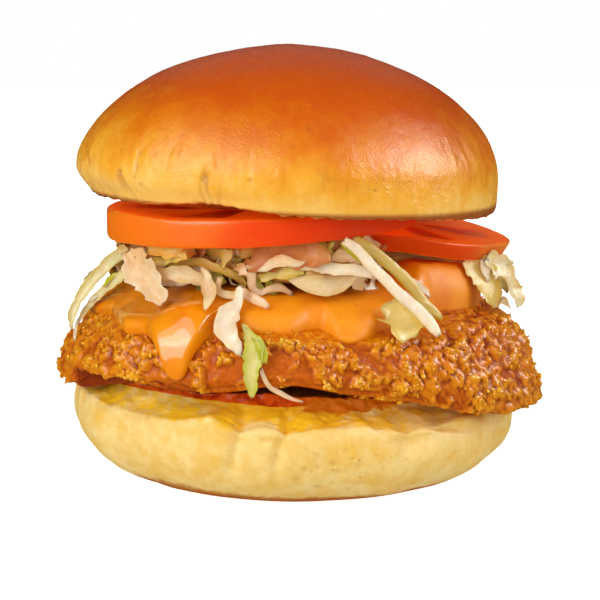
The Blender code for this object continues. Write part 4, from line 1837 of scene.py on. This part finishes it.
# Each cut is its leaf, thickness, cup, frill, raggedness and twist.
FRONT_SHREDS = (
    # shaded scraps under the slices
    Shred(((-12, 55.5, 2.4), (-8.5, 57.5, 5.4), (-5.0, 58.5, 6.4), (-1, 58.7, 6.2), (3, 58.7, 5.2),
           (7, 58.4, 2.6)), Cut(Leaf.SHADE, 0.3, 0.3, 0.25, 0.30), lift=0.3, depth=(-37.2, -36.6)),
    Shred(((7, 57.5, 1), (8.5, 58, 3), (11, 58.5, 3.4), (14, 57.5, 2)),
          Cut(Leaf.ROSE, 0.3, 0.3, 0.4, 0.3), lift=0.3, depth=(-37, -36)),
    Shred(((-9, 53, 1.5), (-5.5, 54.5, 3), (-2, 55, 3), (1, 55, 1.4)),
          Cut(Leaf.STRAW, 0.3, 0.3, 0.4, 0.3), lift=0.3, depth=(-36, -38)),
    # the long curved ribbons at the left
    Shred(((-40.2, 57.5, 3), (-42.2, 56, 3.3), (-45.1, 53.5, 3.4), (-48.6, 50, 3.2), (-51.6, 46.5, 2.9),
           (-53.6, 43, 2.6), (-54.6, 40, 1.9), (-55.1, 37.5, 0.8)),
          Cut(Leaf.PALE, 0.3, 0.5, 0.4, 0.14, 0.03), lift=0.4, depth=(-14, -3)),
    Shred(((-53.1, 40, 1), (-53.6, 37.5, 0.9), (-53.6, 35.5, 0.5)), Cut(Leaf.WHITE), lift=0.4),
    Shred(((-38.2, 54.5, 2.1), (-39.7, 53.5, 2.2), (-42.7, 50.5, 2.2), (-45.6, 48, 2.1), (-49.6, 44, 2),
           (-52.1, 41, 1.6), (-53.1, 39.5, 0.7)),
          Cut(Leaf.PALE, 0.4, 0.3, 0.4, 0.14), lift=0.6, depth=(-24, -8)),
    Shred(((-42.7, 51.5, 0.8), (-44.7, 50.5, 1.3), (-46.6, 48, 0.7)),
          Cut(Leaf.LIME), lift=1.2, depth=(-19, -16)),
    Shred(((-47.1, 47, 0.6), (-48.6, 45.5, 1), (-50.6, 44, 0.5)),
          Cut(Leaf.WHITE), lift=1.2, depth=(-14, -10)),
    # the long olive shred and the scraps round it
    Shred(((-37.5, 57, 1.2), (-33.5, 56, 1.8), (-31, 56, 2.1), (-26.5, 56, 2), (-22, 56, 2),
           (-17.5, 54.5, 1.9), (-14.5, 53, 1.7), (-12.5, 51, 1.2)),
          Cut(Leaf.STRAW, 0.4, 0.3, 0.25, 0.15, 0.05), lift=0.5),
    Shred(((-31.5, 55, 0.5), (-29.5, 56.5, 1.6), (-27.5, 57.5, 1.8), (-25.5, 58, 1.6)),
          Cut(Leaf.YELLOW), lift=0.9),
    Shred(((-35, 58.5, 2), (-30, 58.5, 2.6), (-24, 58.5, 2.4)),
          Cut(Leaf.YELLOW, 0.4, 0.3, 0.4, 0.3), lift=0.3),
    Shred(((-34, 53.5, 1.8), (-30.5, 53.5, 3.2), (-27, 53.5, 3.4), (-24, 53, 3.2), (-21.5, 51.5, 1.4)),
          Cut(Leaf.BEIGE), lift=0.6),
    # the broad ragged leaf
    Shred(((-39.5, 58, 3.2), (-38, 56, 5.0), (-37, 54.5, 6.6), (-35, 52.5, 7.4), (-33.5, 50.5, 6.6),
           (-31.8, 48.6, 4.6), (-31, 47.5, 1.8)),
          Cut(Leaf.PEACH, 0.3, 0.35, 1.0, 0.34, 0.03), lift=1.0, depth=(-25, -38.5)),
    # the curls in the middle
    Shred(((-16.5, 59.5, 2.8), (-16.5, 58, 2.6), (-17, 56.5, 1.4), (-17.3, 55, 0.4)),
          Cut(Leaf.YELLOW), lift=0.6, depth=(-36, -36)),
    Shred(((-22.3, 55.3, 0.5), (-21.3, 53.5, 2.2), (-20.7, 51.5, 3.1), (-20, 50, 3.1),
           (-20.5, 48.5, 1.9), (-21.1, 47.2, 0.5)),
          Cut(Leaf.CREAM, 0.45, 0.35, 0.25, 0.15, 0.05), lift=0.8, depth=(-34, -38)),
    Shred(((-18, 53, 1.3), (-18.5, 51, 1.6), (-18, 50, 1.8), (-16, 49.5, 1.9), (-13.5, 49.5, 1.9),
           (-12, 50.5, 1.5)), Cut(Leaf.CREAM, 0.5, 0.3, 0.2, 0.12, 0.05), lift=0.8, depth=(-34, -38)),
    # the drooping piece, the green blade below it and the thin thread
    Shred(((-13.2, 52, 1.5), (-13.5, 50, 2), (-14, 48.2, 2.6), (-15.3, 46.5, 4.4), (-16.2, 44.5, 5.4),
           (-16, 43, 4.9), (-15, 41.5, 3.6), (-13.7, 40, 2.8), (-13, 38.3, 1.2)),
          Cut(Leaf.WHITE, 0.9, 0.22, 0.25, 0.14, 0.03), lift=0.6, depth=(-42, -50)),
    Shred(((-12.5, 44.2, 0.7), (-11.5, 43, 2.2), (-10.5, 41.5, 3.8), (-10, 40, 4.8), (-10, 38, 5),
           (-10.5, 36, 3.8), (-10.5, 34, 3.2), (-10.5, 31.5, 2.6), (-10.5, 29.3, 1.1)),
          Cut(Leaf.GREEN, 0.35, 0.3, 0.15, 0.25, -0.02), lift=0.7),
    Shred(((-12.2, 43.6, 0.5), (-10, 42.3, 1.4), (-8.8, 40.5, 2.1), (-8, 38.7, 2), (-7.6, 37, 1)),
          Cut(Leaf.LIME, 0.3, 0.2, 0.1, 0.3), lift=1.3),
    Shred(((-8.5, 35.5, 0.9), (-8, 34, 1), (-7, 32, 1), (-5.5, 30.5, 1.1), (-3, 29, 1),
           (-1.5, 28.3, 0.8), (0.5, 27.6, 0.4)),
          Cut(Leaf.ROSE, 0.4, 0.2, 0.1, 0.1, 0.1), lift=0.4, depth=(-53, -52)),
    # the frilly strip and the curls by its ends
    Shred(((-9, 55.5, 0.5), (-7.5, 56, 1.7), (-6, 57, 2.1), (-3.5, 57.6, 2.9), (-1.5, 57, 1.9),
           (0.5, 56.5, 1.9), (3, 56.5, 2.3), (5, 56, 2.6), (8, 55.6, 2.6), (11, 55.4, 2.6),
           (14, 55, 2.4), (16, 54, 1.3)),
          Cut(Leaf.WHITE, 0.8, 0.1, 0.2, 0.15, 0.02), lift=0.6, depth=(-42.0, -41.5)),
    Shred(((0.5, 57, 0.7), (1.5, 58, 1.4), (3, 58.8, 1)), Cut(Leaf.WHITE), lift=0.6, depth=(-41, -41)),
    Shred(((-13.5, 54.5, 1.5), (-12, 55, 2.3), (-11, 54, 2.2), (-10.8, 51.5, 1.7), (-9, 50, 1.6),
           (-7, 50.8, 1.6), (-4.5, 51, 1.7), (-2, 49.8, 1)),
          Cut(Leaf.ROSE, 0.5, 0.2, 0.2, 0.15, 0.05), lift=0.7, depth=(-38, -38)),
    Shred(((-14, 51, 1.5), (-12, 49.8, 2.2), (-10, 49, 2.1), (-8, 48.2, 2), (-7.2, 47.3, 1.2)),
          Cut(Leaf.ROSE, 0.5, 0.2, 0.2, 0.15, 0.05), lift=0.9, depth=(-38, -42)),
    Shred(((-2.5, 53.6, 0.8), (0, 52.8, 2.7), (2.5, 52.2, 4.1), (5.5, 51.8, 4.6), (8.5, 52, 3.9),
           (11, 53, 2.6), (12.5, 53.6, 0.8)),
          Cut(Leaf.BEIGE, 0.3, 0.1, 0.1, 0.08), lift=0.5, depth=(-40, -40)),
    # the crossed strips at the right
    Shred(((20, 48, 4.4), (20.8, 46, 6.8), (22, 44.2, 8.4), (23, 42.5, 8.0), (24, 40.6, 4.6)),
          Cut(Leaf.YELLOW, 0.4, 0.3, 0.9, 0.3, 0.02), lift=0.7, depth=(-32, -44)),
    Shred(((24.5, 52.5, 1.2), (25.5, 51.5, 1.8), (27, 50, 2.5), (29, 48.5, 2), (29.5, 47.5, 0.8)),
          Cut(Leaf.WHITE, 0.6, 0.2, 0.4, 0.5, 0.1), lift=0.5, depth=(-30, -32)),
    Shred(((9, 61.5, 0.9), (11, 59.5, 1.1), (13.5, 57.5, 0.9), (15, 56.5, 0.4)),
          Cut(Leaf.LIME), lift=0.4, depth=(-40, -42)),
    Shred(((12, 62, 2.2), (15, 60.3, 2.5), (18, 58, 2.7), (22, 54.5, 2.7), (25, 51.5, 2.7),
           (27.5, 48, 2.5), (30, 45.5, 2.3), (32, 44, 1.4)),
          Cut(Leaf.STRAW, 0.7, -0.1, 0.08, 0.06), lift=0.6, depth=(-39, -37)),
    Shred(((10, 62, 1.9), (12.5, 60.3, 2.3), (15.5, 57, 2.5), (19.5, 53, 2.5), (22.5, 50, 2.7),
           (25, 48, 2.8), (28.5, 44.5, 2.9), (30, 42.5, 2.3), (30.6, 41.5, 1.2)),
          Cut(Leaf.WHITE, 1.0, -0.1, 0.06, 0.05), lift=0.7, depth=(-42, -45)),
    # the tuft at the far right
    Shred(((40, 54.5, 4), (42, 52.5, 6.5), (44, 50, 7.6), (45.5, 47, 6.8), (46.6, 44.5, 4.8),
           (47, 42.5, 2)), Cut(Leaf.YELLOW, 0.3, 0.15, 0.5, 0.25, 0.02), lift=0.4, depth=(-8, -6)),
    Shred(((45, 54.5, 3.4), (47.5, 52.5, 6.5), (49.5, 50, 7.4), (51, 47.5, 5.4), (52.2, 45, 3.8),
           (52.4, 43, 1.8)), Cut(Leaf.CREAM, 0.3, 0.2, 0.6, 0.3, 0.03), lift=0.4, depth=(-9, -3)),
    Shred(((44.3, 54, 3.2), (44.5, 51.8, 2.8), (45, 50, 1.9), (45.2, 48.5, 0.8)),
          Cut(Leaf.WHITE, 0.6), lift=0.6, depth=(-12, -12)),
    Shred(((45, 53, 0.8), (48.5, 52.8, 1.9), (51.8, 52.6, 0.8)),
          Cut(Leaf.CREAM), lift=0.4, depth=(-10, -8)),
    Shred(((48.3, 44.3, 2.2), (50, 43, 1.3), (50.6, 42.3, 0.6)),
          Cut(Leaf.CREAM), lift=0.4, depth=(-6, -6)),
)


@dataclass
class Heap:
    """The heap of shredded lettuce: shreds all round and the ones that stand out in front."""

    ground: Ground
    radius: float = 44.0
    loose: int = 260
    side_level: float = 57.5
    leaves: tuple[Leaf, ...] = (
        Leaf.WHITE, Leaf.CREAM, Leaf.BEIGE, Leaf.PEACH, Leaf.YELLOW, Leaf.STRAW, Leaf.ROSE, Leaf.GREEN,
    )

    def edge(self, theta: float) -> float:
        """The heap's outline.

        Args:
            theta: Angle round the axis.

        Returns:
            Its radius there.
        """
        uneven = ripple(theta, ((1.6, 5, 0.3), (1.3, 9, 2.1), (1.0, 14, 0.9)))
        out = self.radius + uneven + 2.0 * hump(theta, 176.0, 19.0) + 4.0 * hump(theta, -4.0, 15.0)
        return float(out - 13.0 * hump(theta, -42.0, 24.0))

    @staticmethod
    def set_back(theta: float) -> float:
        """How far loose shreds stay back from the outline, beside the dollop of sauce."""
        return 9.0 * float(hump(theta, -30.0, 22.0))

    @staticmethod
    def roof(x: float, y: float) -> float:
        """The slices' underside.

        Args:
            x: Place along X.
            y: Place along Y.

        Returns:
            Its height there.
        """
        front = slice_plane(x)
        beside = 1.0 - smoothstep(30.5, 36.0, math.hypot(x - 21.5, y - 5.0))
        side = Heap.side_level - slice_droop(x)
        return float(front + (side - front) * beside)

    def wander(self, shell: Shell, rng: np.random.Generator) -> None:
        """Adds a loose shred somewhere in the heap's outer part.

        Args:
            shell: The shell that grows.
            rng: Source of chance.
        """
        theta = rng.uniform(-math.pi, math.pi)
        poured = float(hump(theta, -88.0, 48.0))
        reach = self.edge(theta) * (rng.uniform(0.82, 0.99) - 0.08 * poured) - self.set_back(theta)
        heading = theta + math.pi / 2.0 + rng.normal(0.0, 0.8) + math.pi * rng.integers(0, 2)
        x, y = reach * math.cos(theta), reach * math.sin(theta)
        low, high = self.ground.floor(x, y) + 0.6 + 2.5 * poured, self.roof(x, y) - 0.8
        level = low + (max(high, low + 0.5) - low) * rng.random()
        curl, step, size = rng.normal(0.0, 0.34), rng.uniform(2.2, 4.6), rng.uniform(1.8, 6.2)
        path = []
        for _ in range(5):
            bearing = math.atan2(y, x)
            over = math.hypot(x, y) - self.edge(bearing) - 1.0 + 5.0 * poured + self.set_back(bearing)
            over = max(0.0, over)
            px, py = x - over * math.cos(bearing), y - over * math.sin(bearing)
            z = max(self.ground.floor(px, py) + 0.5, min(level, self.roof(px, py) - 0.7))
            path.append((px, py, z, size * rng.uniform(0.6, 1.1)))
            x, y = x + step * math.cos(heading), y + step * math.sin(heading)
            heading += curl
            level += rng.normal(0.0, 1.5)
        knots = flowing(np.array(path), 0.9)
        leaf = rng.choice(self.leaves)
        cut = Cut(
            leaf,
            thickness=rng.uniform(0.22, 0.38),
            cup=rng.normal(0.0, 0.3),
            frill=rng.uniform(0.2, 0.8),
            ragged=rng.uniform(0.2, 0.45),
            twist=rng.normal(0.0, 0.18),
            seed=int(rng.integers(1, 9999)),
        )
        facing = np.array((math.cos(theta), math.sin(theta), rng.uniform(-0.5, 1.2)))
        cut.add_to(shell, knots[:, :3], knots[:, 3], facing)

    def loose_shreds(self) -> Shell:
        """Shreds all round the heap.

        Returns:
            All of them as one shell.
        """
        rng = np.random.default_rng(81)
        shell = Shell()
        for _ in range(self.loose):
            self.wander(shell, rng)
        return shell

    def front_shreds(self) -> Shell:
        """The shreds that stand out in front.

        Returns:
            All of them as one shell.
        """
        shell = Shell()
        for seed, shred in enumerate(FRONT_SHREDS, start=1):
            shred.add_to(shell, self.ground, seed)
        return shell


@dataclass(frozen=True)
class Core:
    """The heap's inside: the solid heap shrunk a little, with the relief of packed shreds.

    It has painted shade in its hollows and is pale on its shreds, and each has a tint in front and one
    behind: in front it is painted darker and browner, as shade under the slices.
    """

    pitch: float = 1.1
    shrink: float = 2.0
    deep: Sequence[Colour] = (rgb(204, 132, 48), rgb(196, 186, 96))
    pale: Sequence[Colour] = (rgb(240, 206, 132), rgb(236, 232, 178))

    def remeshed(self) -> bpy.types.Mesh:
        """The solid heap with even, small faces.

        Returns:
            A new mesh.
        """
        piece = bpy.data.objects.new("lettuce_core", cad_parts["lettuce"].data.copy())
        bpy.context.scene.collection.objects.link(piece)
        remesh = piece.modifiers.new("Remesh", "REMESH")
        remesh.mode = "VOXEL"
        remesh.voxel_size = self.pitch * MM
        graph = bpy.context.evaluated_depsgraph_get()
        mesh = bpy.data.meshes.new_from_object(piece.evaluated_get(graph))
        bpy.data.objects.remove(piece)
        return mesh

    def build(self, material: bpy.types.Material) -> bpy.types.Object:
        """Builds the piece.

        Args:
            material: The leaf's finish.

        Returns:
            The new object.
        """
        mesh = self.remeshed()
        points = np.empty(len(mesh.vertices) * 3)
        out = np.empty(len(mesh.vertices) * 3)
        faces = np.empty(len(mesh.loops), dtype=np.int32)
        mesh.vertices.foreach_get("co", points)
        mesh.vertex_normals.foreach_get("vector", out)
        mesh.loops.foreach_get("vertex_index", faces)
        bpy.data.meshes.remove(mesh)
        points, out = points.reshape(-1, 3) / MM, out.reshape(-1, 3)
        strands = Noise(91).layered(points * (1.0, 1.0, 2.2), 4.5, 3)
        points = points + out * (-self.shrink + 1.1 * strands)[:, None]
        # Painted shade: darker and browner in front under the slices, and in the hollows between the
        # strands.
        behind = smoothstep(-24.0, -4.0, points[:, 1])[:, None]
        deep, pale = (
            np.array(front) * (1.0 - behind) + np.array(back) * behind
            for front, back in (self.deep, self.pale)
        )
        tint = deep + (pale - deep) * smoothstep(-0.3, 0.5, strands)[:, None]
        shell = Shell()
        shell.add(points, [faces.reshape(-1, 4)], {"tint": tint})
        return shell.build("lettuce_core", material)


# ---------------- the studio


@dataclass(frozen=True)
class Lamp:
    """A soft light that looks at the burger: a softbox of that width and height, or else a far sky light.

    One that isn't for matt surfaces only makes highlights.
    """

    name: str
    place: Triple
    power: float
    size: tuple[float, float] | None = None
    matt: bool = True
    colour: Triple = (1.0, 1.0, 1.0)
    aim: Triple = (0.0, 0.0, 0.06)
    sky_width: float = 100.0

    def build(self) -> bpy.types.Object:
        """Adds the light.

        Returns:
            The new object.
        """
        light = bpy.data.lights.new(self.name, "SUN" if self.size is None else "AREA")
        light.energy = self.power
        light.color = self.colour
        lamp = bpy.data.objects.new(self.name, light)
        if self.size is None:
            light.angle = math.radians(self.sky_width)
            lamp.visible_glossy = False
        else:
            light.shape = "RECTANGLE"
            light.size, light.size_y = self.size
        lamp.visible_camera = False
        lamp.visible_diffuse = self.matt
        lamp.location = self.place
        towards = Vector(self.aim) - Vector(self.place)
        lamp.rotation_euler = towards.to_track_quat("-Z", "Y").to_euler()
        bpy.context.scene.collection.objects.link(lamp)
        return lamp


@dataclass(frozen=True)
class Studio:
    """The table, the lights and the camera."""

    distance: float = 0.400
    elevation: float = 9.0
    aim: Triple = (0.0, 0.0, 0.042)
    lens: float = 96.0
    sky: float = 0.24
    bounce: float = 0.95
    mirrored: float = 0.03
    warmth: Colour = (1.0, 0.92, 0.80, 1.0)
    lamps: tuple[Lamp, ...] = (
        Lamp("key_left", (-0.68, -0.58, 0.34), 4.9, (0.50, 0.80)),
        Lamp("key_right", (0.74, -0.10, 0.42), 2.6, (0.60, 0.60)),
        Lamp("gleam_right", (0.72, -0.10, 0.42), 6.0, (0.52, 0.50), False),
        Lamp("gleam_left", (-0.54, -0.42, 0.66), 2.8, (0.75, 0.60), False),
        Lamp("spark_right", (0.70, -0.16, 0.42), 0.6, (0.10, 0.10), False),
        Lamp("spark_left", (-0.60, -0.52, 0.46), 0.25, (0.20, 0.20), False),
        Lamp("rim_back", (0.0, 0.90, 0.55), 0.15, (0.60, 0.50)),
        Lamp("sky_fill", (0.10, -0.90, 0.80), 1.36, colour=(1.0, 0.96, 0.89)),
    )

    def build(self) -> None:
        """Sets the studio up."""
        bpy.ops.mesh.primitive_plane_add(size=8.0)
        table = bpy.context.object
        table.name = "table"
        table.data.materials.append(PaleTable().paint())
        table.visible_glossy = False
        table.visible_diffuse = False
        for lamp in self.lamps:
            lamp.build()
        self.world()
        self.camera()
        bpy.context.scene.view_settings.view_transform = "Standard"

    def world(self) -> None:
        """A white backdrop that lights softly, more from below, and is dim in reflections."""
        paint = Paint("studio", bpy.data.worlds)
        way = paint.node("ShaderNodeNewGeometry", output="Position")
        height = paint.node("ShaderNodeSeparateXYZ", {}, {0: way}, "Z")
        bounds = {"From Min": -0.5, "From Max": 0.3, "To Min": self.bounce, "To Max": self.sky}
        light = paint.node("ShaderNodeMapRange", {}, {"Value": height, **bounds})
        shown = paint.node("ShaderNodeBackground", {}, {"Color": self.warmth, "Strength": light})
        for ray, strength in (("Is Glossy Ray", self.mirrored), ("Is Camera Ray", 1.0)):
            shader = paint.node("ShaderNodeBackground", {}, {"Color": WHITE, "Strength": strength})
            share = paint.node("ShaderNodeLightPath", output=ray)
            shown = paint.node("ShaderNodeMixShader", {}, {0: share, 1: shown, 2: shader})
        bpy.context.scene.world = paint.close("ShaderNodeOutputWorld", shown)

    def camera(self) -> None:
        """The camera, a little above the table."""
        data = bpy.data.cameras.new("camera")
        data.lens = self.lens
        data.sensor_width = 36.0
        data.clip_start = 0.01
        data.clip_end = 20.0
        camera = bpy.data.objects.new("camera", data)
        tilt = math.radians(self.elevation)
        aim = Vector(self.aim)
        camera.location = aim + self.distance * Vector((0.0, -math.cos(tilt), math.sin(tilt)))
        camera.rotation_euler = (aim - camera.location).to_track_quat("-Z", "Y").to_euler()
        bpy.context.scene.collection.objects.link(camera)
        bpy.context.scene.camera = camera


# ---------------- the whole


@dataclass(frozen=True)
class Burger:
    """Builds the pieces from the heel up and hides the solids they stand for."""

    heel: Heel = field(default_factory=Heel)
    fillet: Fillet = field(default_factory=Fillet)
    core: Core = field(default_factory=Core)
    side: SideSlice = field(default_factory=SideSlice)
    front: FrontSlice = field(default_factory=FrontSlice)
    crown: Crown = field(default_factory=Crown)
    # The second colour of each tomato is painted light: the paler colour of its lit side.
    side_finish: WetTomato = WetTomato("tomato_side", rgb(222, 78, 4), rgb(232, 130, 44))
    front_finish: WetTomato = WetTomato("tomato_front", rgb(238, 66, 0), rgb(240, 118, 6))

    @staticmethod
    def keep(piece: bpy.types.Object, slot: str, replaces: bool = True) -> bpy.types.Object:
        """Ties a piece to the burger.

        Args:
            piece: The new piece.
            slot: Node that it belongs to.
            replaces: Whether it stands for the node.

        Returns:
            The piece.
        """
        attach(piece, "root")
        if replaces:
            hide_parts(slot)
        log.info("%s: %d faces", piece.name, len(piece.data.polygons))
        return piece

    def build(self) -> None:
        """Builds every piece."""
        self.keep(self.heel.skin().build("bottom_bun_crumb", SoftCrumb().paint()), "bottom_bun")

        crust = FriedCrust().paint()
        crust_skin = self.fillet.skin()
        fried = self.keep(crust_skin.build("chicken_crust", crust), "chicken_fillet")
        self.keep(self.fillet.scatter(crust_skin).build("chicken_crumbs", crust), "chicken_fillet", False)
        sauce = self.keep(Sauce(self.fillet).skin().build("sauce_blanket", CreamySauce().paint()), "sauce")

        leaf = CrispLeaf().paint()
        ground = Ground()
        ground.add(fried)
        ground.add(sauce)
        heap = Heap(ground)
        loose = self.keep(heap.loose_shreds().build("lettuce_shreds", leaf), "lettuce")
        ground.add(self.keep(self.core.build(leaf), "lettuce", False))
        ground.add(loose)
        self.keep(heap.front_shreds().build("lettuce_front_shreds", leaf), "lettuce", False)

        side = self.side.skin().build("tomato_slice_side_flesh", self.side_finish.paint())
        self.keep(side, "tomato_slice_side")
        front = self.front.skin().build("tomato_slice_front_flesh", self.front_finish.paint())
        self.keep(front, "tomato_slice_front")
        self.keep(self.crown.skin().build("top_bun_crust", GlazedCrust().paint()), "top_bun")


def main() -> None:
    """Builds the burger and its studio."""
    logging.basicConfig(level=logging.INFO, format="%(name)s: %(message)s")
    Burger().build()
    Studio().build()


if __name__ == "__main__":
    main()
